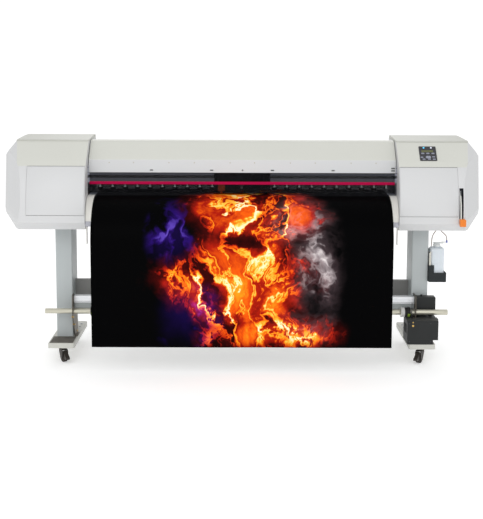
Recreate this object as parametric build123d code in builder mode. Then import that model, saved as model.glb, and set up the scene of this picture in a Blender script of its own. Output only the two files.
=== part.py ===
from build123d import *
import math
import os

os.makedirs("parts", exist_ok=True)

# ---------------------------------------------------------------- dimensions
# Millimetres. +X is to the operator's right, -Y is the operator's side and
# +Z is up. The origin is on the floor, under the middle of the machine.
HALF_WIDTH = 1349.0        # over the two end covers
INNER_X = 876.0            # inner face of each end cover
BAY_X = 872.0              # half length of the parts between the end covers
MEDIA_X = 832.0            # half width of the web
MEDIA_T = 1.5              # thickness that the web is given as a solid
MEDIA_BOTTOM = 141.0       # free edge of the web above the floor
MEDIA_FRONT = -440.0       # plane of the hanging web
PLATEN_Z = 962.0           # working surface
TOP_Z = 1262.0             # top of the end covers
BODY_Z = 780.0             # underside of the end covers
WALL = 3.0                 # end cover wall

LEG_X, LEG_Y = 1031.0, -16.0       # centre of each leg
LEG_W, LEG_D = 96.0, 192.0
FOOT_W, FOOT_D = 150.0, 536.0
FOOT_Z0, FOOT_Z1 = 88.0, 118.0
CASTER_Y = 215.0
WHEEL_R = 25.0

SHAFT_Y, SHAFT_Z, SHAFT_R = -190.0, 288.0, 16.0     # take-up shaft
SUPPLY_Y, SUPPLY_Z, SUPPLY_R = 361.3, 600.0, 78.7   # supply roll
ROLLER_Y, ROLLER_Z, ROLLER_R = 40.0, 950.0, 12.0    # feed roller
PINCH_Z, PINCH_R = 973.1, 9.0                       # pinch rollers, above it
PINCH_X0, PINCH_PITCH, PINCH_N = -833.0, 73.0, 23
LIFT_Y, LIFT_Z = 90.0, 1005.0                       # pinch arm lift rod
GUIDE_R = 140.0                                     # front guide bend
REAR_R = 130.0                                      # rear guide bend
PULLEY_X, PULLEY_Z, BELT_R = 1150.0, 1085.0, 15.0
LEVER_Y, LEVER_Z = -268.0, 985.0                    # clamp lever pivot
HINGE_Y, HINGE_Z = 5.0, 1255.0                      # hood hinge
TUBE_D = 6.0                                        # waste ink tubes

DOOR_X0, DOOR_X1, DOOR_Z0, DOOR_Z1 = 880.0, 1202.0, 863.0, 1130.5


# ------------------------------------------------------------------- helpers
def box(x0, x1, y0, y1, z0, z1, mode=Mode.ADD):
    with Locations(((x0 + x1) / 2, (y0 + y1) / 2, (z0 + z1) / 2)):
        Box(x1 - x0, y1 - y0, z1 - z0, mode=mode)


def rod_x(x0, x1, y, z, r, mode=Mode.ADD):
    with BuildSketch(Plane.YZ.offset(x0)) as sk:
        with Locations((y, z)):
            Circle(r)
    extrude(sk.sketch, amount=x1 - x0, mode=mode)


def rod_y(y0, y1, x, z, r, mode=Mode.ADD):
    with BuildSketch(Plane(origin=(0, y1, 0), x_dir=(1, 0, 0), z_dir=(0, -1, 0))) as sk:
        with Locations((x, z)):
            Circle(r)
    extrude(sk.sketch, amount=y1 - y0, mode=mode)


def rod_z(z0, z1, x, y, r, mode=Mode.ADD):
    with BuildSketch(Plane.XY.offset(z0)) as sk:
        with Locations((x, y)):
            Circle(r)
    extrude(sk.sketch, amount=z1 - z0, mode=mode)


def prism_yz(x0, x1, pts, rounds=(), mode=Mode.ADD):
    """Polygon in the YZ plane, with chosen corners rounded, run along X."""
    with BuildSketch(Plane.YZ.offset(x0)) as sk:
        with BuildLine():
            Polyline(*pts, close=True)
        make_face()
        for corner, r in rounds:
            fillet(sk.vertices().sort_by_distance((corner[0], corner[1], 0))[0:1], r)
    extrude(sk.sketch, amount=x1 - x0, mode=mode)


def prism_xz(y0, y1, pts, mode=Mode.ADD):
    with BuildSketch(Plane(origin=(0, y1, 0), x_dir=(1, 0, 0), z_dir=(0, -1, 0))) as sk:
        with BuildLine():
            Polyline(*pts, close=True)
        make_face()
    extrude(sk.sketch, amount=y1 - y0, mode=mode)


def slab(z0, z1, x, y, w, d, r, mode=Mode.ADD):
    with BuildSketch(Plane.XY.offset(z0)) as sk:
        with Locations((x, y)):
            RectangleRounded(w, d, r)
    extrude(sk.sketch, amount=z1 - z0, mode=mode)


def keep(piece, name):
    piece.part.label = name
    export_step(piece.part, "parts/" + name + ".step")


# --------------------------------------------------------------------- stand
with BuildPart() as stand_legs:
    for s in (-1, 1):
        slab(FOOT_Z1, 776, s * LEG_X, LEG_Y, LEG_W, LEG_D, 7)
        slab(FOOT_Z1, 776, s * LEG_X, LEG_Y, LEG_W - 6, LEG_D - 6, 4, mode=Mode.SUBTRACT)
        slab(776, 785, s * LEG_X, LEG_Y, 150, 230, 10)
keep(stand_legs, "stand_legs")

with BuildPart() as stand_feet:
    for s in (-1, 1):
        slab(FOOT_Z0, FOOT_Z1, s * LEG_X, 0, FOOT_W, FOOT_D, 9)
    fillet(stand_feet.edges().group_by(Axis.Z)[-1], 4)
    for s in (-1, 1):
        slab(FOOT_Z0, FOOT_Z1 - 4, s * LEG_X, 0, FOOT_W - 8, 300, 6, mode=Mode.SUBTRACT)
        for f in (-1, 1):
            slab(FOOT_Z0 - 4, FOOT_Z0, s * LEG_X, f * CASTER_Y, 62, 62, 6)
            rod_z(64, FOOT_Z0 - 4, s * LEG_X, f * CASTER_Y, 6)
keep(stand_feet, "stand_feet")

with BuildPart() as cross_beam:
    box(-983, 983, -8, 24, 262, 437)
    box(-983, 983, -5.5, 24, 264.5, 434.5, mode=Mode.SUBTRACT)
keep(cross_beam, "cross_beam")

# ------------------------------------------------------------------- casters
# Swivel axis through the local origin; the wheel trails towards -Y.
with BuildPart() as caster_fork:
    rod_z(66, 83.6, 0, 0, 21)
    rod_z(66, 83.6, 0, 0, 6.05, mode=Mode.SUBTRACT)
    for s in (-1, 1):
        prism_yz(min(s * 15, s * 18.5), max(s * 15, s * 18.5),
                 [(10, 74), (-26, 74), (-37, 60), (-30, 17), (-10, 17), (10, 60)],
                 rounds=[((-30, 17), 8), ((-10, 17), 8), ((-37, 60), 6)])
    rod_x(-18.5, 18.5, -20, WHEEL_R, 4)
    rod_x(-18.5, 18.5, -29, 60, 3)

with BuildPart() as caster_wheel:
    rod_x(-13, 13, -20, WHEEL_R, WHEEL_R)
    chamfer(caster_wheel.edges().filter_by(GeomType.CIRCLE), 3)
    rod_x(-13.5, 13.5, -20, WHEEL_R, 8)
    rod_x(-14, 14, -20, WHEEL_R, 4.05, mode=Mode.SUBTRACT)

with BuildPart() as caster_brake:
    prism_yz(-12, 12, [(-23, 65), (-34, 66), (-73, 32), (-73, 21), (-50, 21), (-50, 32), (-34, 54), (-23, 55)],
             rounds=[((-73, 21), 3), ((-73, 32), 4)])
    rod_x(-13, 13, -29, 60, 3.05, mode=Mode.SUBTRACT)

CASTERS = {"fl": (-LEG_X, -CASTER_Y, 33.0), "fr": (LEG_X, -CASTER_Y, -33.0),
           "rl": (-LEG_X, CASTER_Y, 25.0), "rr": (LEG_X, CASTER_Y, -25.0)}

with BuildPart() as caster_fork_fl:
    with Locations(Location((-LEG_X, -CASTER_Y, 0), (0, 0, CASTERS["fl"][2]))):
        add(caster_fork.part)
keep(caster_fork_fl, "caster_fork_fl")

with BuildPart() as caster_fork_fr:
    with Locations(Location((LEG_X, -CASTER_Y, 0), (0, 0, CASTERS["fr"][2]))):
        add(caster_fork.part)
keep(caster_fork_fr, "caster_fork_fr")

with BuildPart() as caster_fork_rl:
    with Locations(Location((-LEG_X, CASTER_Y, 0), (0, 0, CASTERS["rl"][2]))):
        add(caster_fork.part)
keep(caster_fork_rl, "caster_fork_rl")

with BuildPart() as caster_fork_rr:
    with Locations(Location((LEG_X, CASTER_Y, 0), (0, 0, CASTERS["rr"][2]))):
        add(caster_fork.part)
keep(caster_fork_rr, "caster_fork_rr")

with BuildPart() as caster_wheel_fl:
    with Locations(Location((-LEG_X, -CASTER_Y, 0), (0, 0, CASTERS["fl"][2]))):
        add(caster_wheel.part)
keep(caster_wheel_fl, "caster_wheel_fl")

with BuildPart() as caster_wheel_fr:
    with Locations(Location((LEG_X, -CASTER_Y, 0), (0, 0, CASTERS["fr"][2]))):
        add(caster_wheel.part)
keep(caster_wheel_fr, "caster_wheel_fr")

with BuildPart() as caster_wheel_rl:
    with Locations(Location((-LEG_X, CASTER_Y, 0), (0, 0, CASTERS["rl"][2]))):
        add(caster_wheel.part)
keep(caster_wheel_rl, "caster_wheel_rl")

with BuildPart() as caster_wheel_rr:
    with Locations(Location((LEG_X, CASTER_Y, 0), (0, 0, CASTERS["rr"][2]))):
        add(caster_wheel.part)
keep(caster_wheel_rr, "caster_wheel_rr")

with BuildPart() as caster_brake_fl:
    with Locations(Location((-LEG_X, -CASTER_Y, 0), (0, 0, CASTERS["fl"][2]))):
        add(caster_brake.part)
keep(caster_brake_fl, "caster_brake_fl")

with BuildPart() as caster_brake_fr:
    with Locations(Location((LEG_X, -CASTER_Y, 0), (0, 0, CASTERS["fr"][2]))):
        add(caster_brake.part)
keep(caster_brake_fr, "caster_brake_fr")

# ------------------------------------------------------------------- take-up
with BuildPart() as takeup_rail:
    prism_yz(-969, 996.5, [(-113, 370), (-160, 370), (-160, 354), (-157, 354), (-157, 350),
                           (-160, 350), (-160, 331), (-150, 331), (-150, 301), (-145, 296), (-113, 296)])
keep(takeup_rail, "takeup_rail")

with BuildPart() as takeup_brackets:
    prism_yz(-973, -970, [(-216, 385), (-150, 385), (-20, 190), (-20, 118), (-112, 118), (-216, 270)],
             rounds=[((-216, 385), 8), ((-150, 385), 8), ((-216, 270), 8)])
    box(-970, -959, -110, -22, 118, 121)
    prism_yz(997, 1000, [(-216, 385), (-113, 385), (-113, 257), (-216, 257)],
             rounds=[((-216, 385), 8)])
    box(984, 997, -208, -120, 257, 260)
    rod_x(-974, -969, SHAFT_Y, SHAFT_Z, SHAFT_R - 0.05, mode=Mode.SUBTRACT)
    rod_x(996, 1001, SHAFT_Y, SHAFT_Z, SHAFT_R - 0.05, mode=Mode.SUBTRACT)
keep(takeup_brackets, "takeup_brackets")

with BuildPart() as takeup_drive:
    # geared motor case on the right foot, and the control box above it
    prism_xz(-270, -114, [(944, 118), (1091, 118), (1091, 143), (1120, 143), (1120, 257), (944, 257)])
    fillet(takeup_drive.edges().filter_by(Axis.Y).group_by(Axis.Z)[-1], 5)
    box(948, 1087, -266, -118, 118, 253, mode=Mode.SUBTRACT)
    box(1120, 1131, -200, -150, 192, 248)
    box(1083, 1105, -150, -120, 254, 294)
    box(1000.5, 1118, -166, -114, 291, 371)
    fillet(takeup_drive.edges().filter_by(Axis.Y).group_by(Axis.Z)[-1], 6)
    box(1004, 1114, -162, -118, 295, 367, mode=Mode.SUBTRACT)
    rod_z(371, 381, 1040, -140, 6)
keep(takeup_drive, "takeup_drive")

with BuildPart() as takeup_shaft:
    # core flanges with their clamp rings, one at each side of the web
    rod_x(914, 921, SHAFT_Y, SHAFT_Z, 30)
    rod_x(921, 935.9, SHAFT_Y, SHAFT_Z, 27.5)
    rod_x(936, 968, SHAFT_Y, SHAFT_Z, 27)
    rod_x(952, 966, SHAFT_Y, SHAFT_Z, 28.2)
    rod_x(-868, -836.1, SHAFT_Y, SHAFT_Z, 27)
    rod_x(-864, -850, SHAFT_Y, SHAFT_Z, 28.2)
    rod_x(-836, -829, SHAFT_Y, SHAFT_Z, 30)
    rod_x(-870, 970, SHAFT_Y, SHAFT_Z, SHAFT_R + 0.1, mode=Mode.SUBTRACT)
    # the tube, necked where it runs in its brackets, with a free end on the left
    rod_x(-1130, -974, SHAFT_Y, SHAFT_Z, 15)
    rod_x(-974, -969, SHAFT_Y, SHAFT_Z, SHAFT_R - 0.1)
    rod_x(-969, 996, SHAFT_Y, SHAFT_Z, SHAFT_R)
    rod_x(996, 1001, SHAFT_Y, SHAFT_Z, SHAFT_R - 0.1)
    rod_x(1001, 1183, SHAFT_Y, SHAFT_Z, SHAFT_R)
    rod_x(-1131, 1184, SHAFT_Y, SHAFT_Z, 11.5, mode=Mode.SUBTRACT)
keep(takeup_shaft, "takeup_shaft")

# ------------------------------------------------------------ chassis, tables
with BuildPart() as chassis:
    box(-1212, 1212, -95, 95, 785, 842)
    box(-1206, 1206, -91, 91, 789, 838, mode=Mode.SUBTRACT)
    for s in (-1, 1):
        box(min(s * 1206, s * 1212), max(s * 1206, s * 1212), -110, 120, 785, 1245)
        # feed roller bearing plates
        box(min(s * 880, s * 888), max(s * 880, s * 888), 18, 62, 842, 968)
    rod_x(-889, -879, ROLLER_Y, ROLLER_Z, 5.05, mode=Mode.SUBTRACT)
    rod_x(879, 889, ROLLER_Y, ROLLER_Z, 5.05, mode=Mode.SUBTRACT)
    # lift rod bearing plates
    for s in (-1, 1):
        box(min(s * 890, s * 896), max(s * 890, s * 896), 80.5, 95, 842, 1020)
    rod_x(-897, -889.5, LIFT_Y, LIFT_Z, 5.05, mode=Mode.SUBTRACT)
    rod_x(889.5, 897, LIFT_Y, LIFT_Z, 5.05, mode=Mode.SUBTRACT)
    # clamp lever bracket and pin
    box(1206, 1223, -112, -102, 967, 1003)
    box(1219, 1223, -284, -102, 967, 1003)
    rod_x(1209, 1220, LEVER_Y, LEVER_Z, 6)
    # shelf for the ink cartridges
    box(-1190, -930, -100, -95, 800, 850)
    box(-1190, -930, -250, -95, 847, 850)
keep(chassis, "chassis")

with BuildPart() as platen:
    box(-BAY_X, BAY_X, -179.7, 149.7, 956, PLATEN_Z)
    box(-BAY_X, BAY_X, -84, -80, 842, 956)
    box(-BAY_X, BAY_X, 76, 80, 842, 956)
    box(-852, 852, 26, 54, 950, 963, mode=Mode.SUBTRACT)
keep(platen, "platen")

with BuildPart() as front_guide:
    with BuildSketch(Plane.YZ.offset(-874)) as front_profile:
        with BuildLine():
            a = GUIDE_R * math.sqrt(0.5)
            b = (GUIDE_R - 2) * math.sqrt(0.5)
            ThreePointArc((-180, PLATEN_Z), (-180 - a, 822 + a), (-320, 822))
            Polyline((-320, 822), (-320, 800), (-318, 800), (-318, 822))
            ThreePointArc((-318, 822), (-180 - b, 822 + b), (-180, PLATEN_Z - 2))
            Line((-180, PLATEN_Z - 2), (-180, PLATEN_Z))
        make_face()
    extrude(amount=1748)
    box(-874, 874, -322, -320, 800, 829)
    for x in (-868.5, 868.5):
        box(x - 1.5, x + 1.5, -318, -285, 698, 812)
    for x in (-600, 0, 600):
        prism_yz(x - 2, x + 2, [(-95, 840), (-95, 802), (-318, 802), (-318, 822)])
    for x in (-600, 0, 600):
        box(x - 20, x + 20, -99, -95, 800, 841)
keep(front_guide, "front_guide")

with BuildPart() as rear_guide:
    with BuildSketch(Plane.YZ.offset(-BAY_X)) as rear_profile:
        with BuildLine():
            a = REAR_R * math.sqrt(0.5)
            b = (REAR_R - 2) * math.sqrt(0.5)
            ThreePointArc((150, PLATEN_Z), (150 + a, 832 + a), (280, 832))
            Polyline((280, 832), (280, 800), (278, 800), (278, 832))
            ThreePointArc((278, 832), (150 + b, 832 + b), (150, PLATEN_Z - 2))
            Line((150, PLATEN_Z - 2), (150, PLATEN_Z))
        make_face()
    extrude(amount=2 * BAY_X)
    for x in (-600, 0, 600):
        prism_yz(x - 2, x + 2, [(95, 840), (95, 802), (278, 802), (278, 832)])
        box(x - 20, x + 20, 95, 99, 800, 841)
keep(rear_guide, "rear_guide")

# ------------------------------------------------------------- carriage drive
with BuildPart() as carriage_beam:
    box(-1206, 1206, 0, 80, 1012, 1116)
    box(-1206, 1206, 5, 75, 1017, 1111, mode=Mode.SUBTRACT)
    box(-1100, 1110, -12, 0, 1040, 1056)
    box(-1100, 1110, -12, -9, 1046, 1050, mode=Mode.SUBTRACT)
    rod_y(-14, 0, PULLEY_X, PULLEY_Z, 4)
keep(carriage_beam, "carriage_beam")

with BuildPart() as drive_belt:
    with BuildSketch(Plane(origin=(0, -3, 0), x_dir=(1, 0, 0), z_dir=(0, -1, 0))) as belt_profile:
        with Locations((0, PULLEY_Z)):
            SlotCenterToCenter(2 * PULLEY_X, 2 * (BELT_R + 1.5))
            SlotCenterToCenter(2 * PULLEY_X, 2 * BELT_R, mode=Mode.SUBTRACT)
    extrude(amount=8)
keep(drive_belt, "drive_belt")

with BuildPart() as drive_pulley:
    rod_y(-11.5, -2.5, -PULLEY_X, PULLEY_Z, BELT_R - 0.3)
    rod_y(-12.5, -11.5, -PULLEY_X, PULLEY_Z, 19)
    rod_y(-13, -2, -PULLEY_X, PULLEY_Z, 4.05, mode=Mode.SUBTRACT)
keep(drive_pulley, "drive_pulley")

with BuildPart() as idler_pulley:
    rod_y(-11.5, -2.5, PULLEY_X, PULLEY_Z, BELT_R - 0.3)
    rod_y(-12.5, -11.5, PULLEY_X, PULLEY_Z, 19)
    rod_y(-13, -2, PULLEY_X, PULLEY_Z, 4.05, mode=Mode.SUBTRACT)
keep(idler_pulley, "idler_pulley")

with BuildPart() as drive_motors:
    # carriage motor, on posts in front of the beam
    rod_y(-84, -20, -PULLEY_X, PULLEY_Z, 28)
    box(-1186, -1114, -20, -16, 1047, 1123)
    rod_y(-16, -1, -PULLEY_X, PULLEY_Z, 4)
    for x, z in ((-1179, 1053), (-1121, 1053), (-1179, 1113), (-1121, 1113)):
        rod_y(-16, 0, x, z, 4)
    # feed motor on its pedestal
    rod_x(-985, -905, ROLLER_Y, ROLLER_Z, 26)
    box(-985, -905, 22, 58, 842, 940)
keep(drive_motors, "drive_motors")

with BuildPart() as carriage:
    box(-160, 160, -150, -20, 985, 1086)
    box(-157, 157, -147, -23, 989, 1083, mode=Mode.SUBTRACT)
    box(-120, 120, -20, -12.5, 1026, 1066)
    box(-120, 120, -12.5, -1, 1026, 1039.5)
    box(-120, 120, -12.5, -1, 1056.5, 1066)
    # belt clamp round the upper run
    box(-20, 20, -20, -12, 1086, 1107)
    box(-20, 20, -12, -2, 1095, 1099.4)
    box(-20, 20, -12, -2, 1102.1, 1107)
    box(-20, 20, -26, -12, 1080, 1096)
    # openings for the heads
    box(-101, -9, -131, -49, 984, 990, mode=Mode.SUBTRACT)
    box(9, 101, -131, -49, 984, 990, mode=Mode.SUBTRACT)
keep(carriage, "carriage")

with BuildPart() as print_heads:
    for x in (-55, 55):
        box(x - 45, x + 45, -130, -50, 970, 1040)
        box(x - 38, x + 38, -122, -58, 966, 970)
keep(print_heads, "print_heads")

with BuildPart() as cutter_holder:
    box(-138, -98, -166, -150.5, 984, 1020)
    fillet(cutter_holder.edges().filter_by(Axis.Z), 3)
    rod_z(974, 984, -118, -158, 5)
    rod_z(969.5, 974, -118, -158, 2)
keep(cutter_holder, "cutter_holder")

with BuildPart() as feed_roller:
    rod_x(-848, 848, ROLLER_Y, ROLLER_Z, ROLLER_R)
    rod_x(-898, -848, ROLLER_Y, ROLLER_Z, 5)
    rod_x(848, 898, ROLLER_Y, ROLLER_Z, 5)
keep(feed_roller, "feed_roller")

with BuildPart() as pinch_arms:
    rod_x(-900, 900, LIFT_Y, LIFT_Z, 5)
    for k in range(PINCH_N):
        x = PINCH_X0 + k * PINCH_PITCH
        for s in (-1, 1):
            prism_yz(x + s * 13.5 - 1.5, x + s * 13.5 + 1.5,
                     [(96, 1001), (84, 1009), (36, 980), (33, 968), (46, 968), (92, 996)])
        rod_x(x - 13.5, x + 13.5, ROLLER_Y, PINCH_Z, 2.5)
        prism_yz(x - 13.5, x + 13.5, [(78, 1005), (56, 992), (58, 988), (80, 1001)])
keep(pinch_arms, "pinch_arms")

with BuildPart() as pinch_rollers:
    for k in range(PINCH_N):
        x = PINCH_X0 + k * PINCH_PITCH
        rod_x(x - 11, x + 11, ROLLER_Y, PINCH_Z, PINCH_R)
        rod_x(x - 12, x + 12, ROLLER_Y, PINCH_Z, 2.55, mode=Mode.SUBTRACT)
keep(pinch_rollers, "pinch_rollers")

# --------------------------------------------------------------- print web
with BuildPart() as media_web:
    with BuildSketch(Plane.YZ.offset(-MEDIA_X)) as web_profile:
        with BuildLine():
            k = math.sqrt(0.5)
            ri, ro = REAR_R + 0.3, REAR_R + 0.3 + MEDIA_T
            fi = -190 - MEDIA_FRONT - MEDIA_T
            fo = fi + MEDIA_T
            fz = PLATEN_Z + 0.3 - fi
            Line((150 + ri, SUPPLY_Z), (150 + ri, 832))
            ThreePointArc((150 + ri, 832), (150 + ri * k, 832 + ri * k), (150, 832 + ri))
            Line((150, 832 + ri), (-190, fz + fi))
            ThreePointArc((-190, fz + fi), (-190 - fi * k, fz + fi * k), (-190 - fi, fz))
            Polyline((-190 - fi, fz), (-190 - fi, MEDIA_BOTTOM), (-190 - fo, MEDIA_BOTTOM), (-190 - fo, fz))
            ThreePointArc((-190 - fo, fz), (-190 - fo * k, fz + fo * k), (-190, fz + fo))
            Line((-190, fz + fo), (150, 832 + ro))
            ThreePointArc((150, 832 + ro), (150 + ro * k, 832 + ro * k), (150 + ro, 832))
            Polyline((150 + ro, 832), (150 + ro, SUPPLY_Z), (150 + ri, SUPPLY_Z))
        make_face()
    extrude(amount=2 * MEDIA_X)
keep(media_web, "media_web")
web_length = ((832 - SUPPLY_Z) + math.pi / 2 * (ri + MEDIA_T / 2) + 340
              + math.pi / 2 * (fi + MEDIA_T / 2) + (fz - MEDIA_BOTTOM))
print("web flat size", 2 * MEDIA_X, round(web_length, 1))

with BuildPart() as supply_roll:
    rod_x(-MEDIA_X, MEDIA_X, SUPPLY_Y, SUPPLY_Z, SUPPLY_R)
    rod_x(-MEDIA_X, MEDIA_X, SUPPLY_Y, SUPPLY_Z, 38.3, mode=Mode.SUBTRACT)
    for s in (-1, 1):
        rod_x(min(s * 790, s * 832), max(s * 790, s * 832), SUPPLY_Y, SUPPLY_Z, 38)
        rod_x(min(s * 832.3, s * 842), max(s * 832.3, s * 842), SUPPLY_Y, SUPPLY_Z, 62)
        rod_x(min(s * 832, s * 832.3), max(s * 832, s * 832.3), SUPPLY_Y, SUPPLY_Z, 38)
    rod_x(-880, 880, SUPPLY_Y, SUPPLY_Z, 12.6, mode=Mode.SUBTRACT)
    rod_x(-880, 880, SUPPLY_Y, SUPPLY_Z, 12.5)
keep(supply_roll, "supply_roll")

with BuildPart() as supply_brackets:
    for s in (-1, 1):
        prism_yz(min(s * 852, s * 860), max(s * 852, s * 860),
                 [(95, 842), (95, 786), (322, 568), (400, 568), (400, 628), (372, 640), (330, 668), (200, 797), (140, 842)],
                 rounds=[((400, 568), 12), ((400, 628), 10)])
        rod_x(min(s * 851, s * 861), max(s * 851, s * 861), SUPPLY_Y, SUPPLY_Z, 12.56, mode=Mode.SUBTRACT)
        box(min(s * 860, s * 900), max(s * 860, s * 900), 95, 99, 786, 842)
keep(supply_brackets, "supply_brackets")

# ------------------------------------------------------------------- covers
# One end cover is the common part of a profile seen from the side, an
# outline seen from the front and three sloping planes on its outer corner.
FACETS = [((1242, -330, 861), (0.816, -0.568, 0.108)),
          ((1265, -235, 1160), (0.471, -0.643, 0.604)),
          ((1245, -330, 830), (0.853, -0.480, -0.203))]


def end_block(inset):
    with BuildPart() as block:
        with BuildSketch(Plane.YZ.offset(INNER_X - 2 if inset else INNER_X)) as profile:
            with BuildLine():
                Polyline((262, BODY_Z), (262, 1190), (190, TOP_Z), (-126, TOP_Z), (-235, 1160), (-260, 1132))
                ThreePointArc((-260, 1132), (-312, 1003), (-330, 861))
                Polyline((-330, 861), (-330, 821), (-300, BODY_Z), (262, BODY_Z))
            make_face()
            if inset:
                offset(amount=-inset, kind=Kind.INTERSECTION)
        extrude(amount=500)
        with BuildSketch(Plane(origin=(0, 400, 0), x_dir=(1, 0, 0), z_dir=(0, -1, 0))) as outline:
            with BuildLine():
                Polyline((800, 700), (1190, 700), (HALF_WIDTH, 860), (HALF_WIDTH, 1185),
                         (1255.3, 1300), (800, 1300), close=True)
            make_face()
            if inset:
                offset(amount=-inset, kind=Kind.INTERSECTION)
        extrude(amount=900, mode=Mode.INTERSECT)
        for at, n in FACETS:
            at = tuple(p - inset * q for p, q in zip(at, n))
            split(bisect_by=Plane(origin=at, z_dir=n), keep=Keep.BOTTOM)
    return block.part


outer_block = end_block(0)
inner_block = end_block(WALL)
door_block = end_block(2.5)
rim_block = end_block(13)

with BuildPart() as cover_shell:
    add(outer_block)
    add(inner_block, mode=Mode.SUBTRACT)
    # opening for the stand under the cover, and the door opening
    box(870, 1110, -140, 110, 770, 790, mode=Mode.SUBTRACT)
    box(DOOR_X0 - 1, DOOR_X1 + 1, -345, -245, DOOR_Z0 - 2, DOOR_Z1 + 2, mode=Mode.SUBTRACT)

with BuildPart() as inner_wall:
    add(outer_block)
    box(876, 879, -345, 270, 770, 1270, mode=Mode.INTERSECT)
    # the tables, the beam and the carriage pass through here
    box(875, 880, -185, 130, 770, 1125, mode=Mode.SUBTRACT)

with BuildPart() as cover_common:
    add(cover_shell.part)
    add(inner_wall.part)
    # bearings of the door pins
    box(1203, 1208, -327.5, -320, 860, 872)
    rod_x(1202.9, 1207.5, -328.4, 866, 1.05, mode=Mode.SUBTRACT)
    rod_x(875.9, 879.1, -328.4, 866, 1.05, mode=Mode.SUBTRACT)

# the panel stands on the sloping face
PANEL = Plane(origin=(1047, -190.3, 1201.8), x_dir=(1, 0, 0), z_dir=(0, -102, 109))

with BuildPart() as right_end_cover:
    add(cover_common.part)
    box(1208, 1231, -345, -285, 852, 1020, mode=Mode.SUBTRACT)
    with BuildSketch(PANEL.offset(-12)) as panel_hole:
        RectangleRounded(90, 102, 3)
    extrude(amount=24, mode=Mode.SUBTRACT)
    # gland for the two waste tubes
    box(1114, 1158, -107, -83, 775, 781)
keep(right_end_cover, "right_end_cover")

with BuildPart() as left_end_cover:
    with BuildPart(mode=Mode.PRIVATE) as right_copy:
        add(cover_common.part)
    mirror(right_copy.part, about=Plane.YZ)
    box(-1090, -1010, 255, 265, 872, 922, mode=Mode.SUBTRACT)
    box(-990, -960, 255, 265, 880, 914, mode=Mode.SUBTRACT)
keep(left_end_cover, "left_end_cover")

with BuildPart() as right_door:
    add(outer_block)
    box(DOOR_X0, DOOR_X1, -345, -235, DOOR_Z0, DOOR_Z1, mode=Mode.INTERSECT)
    add(rim_block, mode=Mode.SUBTRACT)
with BuildPart() as door_hollow:
    add(door_block)
    box(DOOR_X0 + 4, DOOR_X1 - 4, -345, -225, DOOR_Z0 + 4, DOOR_Z1 - 4, mode=Mode.INTERSECT)
with BuildPart() as right_door_tray:
    add(right_door.part)
    add(door_hollow.part, mode=Mode.SUBTRACT)
    rod_x(876.5, 884.5, -328.4, 866, 1)
    rod_x(1197.5, 1207, -328.4, 866, 1)
keep(right_door_tray, "right_door")  # the tray is the finished door

with BuildPart() as left_door:
    with BuildPart(mode=Mode.PRIVATE) as door_copy:
        add(right_door_tray.part)
    mirror(door_copy.part, about=Plane.YZ)
keep(left_door, "left_door")

with BuildPart() as top_cap:
    prism_yz(INNER_X, 1290, [(-128, TOP_Z), (-128, 1265), (-112, 1270), (124, 1281.5), (172, 1281.5), (190, 1270), (190, TOP_Z)],
             rounds=[((124, 1281.5), 60), ((-112, 1270), 12)])
    with BuildSketch(Plane(origin=(0, 400, 0), x_dir=(1, 0, 0), z_dir=(0, -1, 0))) as cap_outline:
        with BuildLine():
            Polyline((1286, 1262), (1286, 1250), (860, 1250), (860, 1290), (1270, 1290), (1270, 1283))
            ThreePointArc((1270, 1283), (1281.5, 1276), (1286, 1262))
        make_face()
    extrude(amount=900, mode=Mode.INTERSECT)

with BuildPart() as top_covers:
    with BuildPart(mode=Mode.PRIVATE) as cap_copy:
        add(top_cap.part)
    add(cap_copy.part)
    mirror(cap_copy.part, about=Plane.YZ)
keep(top_covers, "top_covers")

with BuildPart() as rear_cover:
    prism_yz(-BAY_X, BAY_X, [(14, 1262), (185, 1246), (250, 1181), (250, 1010), (248, 1010), (248, 1180.2), (184.2, 1244), (14, 1260)],
             rounds=[((185, 1246), 14), ((184.2, 1244), 12), ((250, 1181), 14), ((248, 1180.2), 12)])
    for x in (-700, 0, 700):
        box(x - 2, x + 2, 80, 249, 1062, 1102)
        box(x - 20, x + 20, 80, 84, 1060, 1104)
    # hinge posts with their pins
    for x in (-800, 0, 800):
        rod_x(x - 10, x + 10, HINGE_Y, HINGE_Z, 4)
        box(x - 10, x + 10, 1, 9, 1240, 1255)
        box(x - 10, x + 10, 1, 30, 1240, 1244)
        box(x - 10, x + 10, 26, 30, 1240, 1260)
        rod_x(x - 18, x + 18, HINGE_Y, HINGE_Z, 2.5)
keep(rear_cover, "rear_cover")

HOOD = [(8, 1263), (-58, 1263), (-160, 1161), (-166, 1088)]
with BuildPart() as hood:
    prism_yz(-BAY_X, BAY_X, HOOD + [(-163.5, 1088), (-157.6, 1160.1), (-57, 1260.5), (8, 1260.5)],
             rounds=[((-58, 1263), 46), ((-57, 1260.5), 43.5), ((-160, 1161), 10), ((-157.6, 1160.1), 7.5)])
    for s in (-1, 1):
        prism_yz(min(s * (BAY_X - 2.5), s * BAY_X), max(s * (BAY_X - 2.5), s * BAY_X),
                 HOOD + [(-146, 1088), (-140, 1153), (-50, 1242), (-6, 1242), (-6, 1262)],
                 rounds=[((-58, 1263), 46), ((-160, 1161), 10)])
    for x in (-800, 0, 800):
        for s in (-1, 1):
            x0 = x + s * 13.5
            box(x0 - 3, x0 + 3, 1, 8, 1251, 1261)
            rod_x(x0 - 3.2, x0 + 3.2, HINGE_Y, HINGE_Z, 2.56, mode=Mode.SUBTRACT)
    # three pressings: the front, the slope and the top
    split(bisect_by=Plane.XY.offset(1150), keep=Keep.BOTH)
    split(bisect_by=Plane.XZ.offset(58), keep=Keep.BOTH)
keep(hood, "hood")

with BuildPart() as hood_window:
    prism_yz(-868, 868, [(-161, 1106), (-157, 1106), (-172, 973), (-176, 973)])
keep(hood_window, "hood_window")

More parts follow.
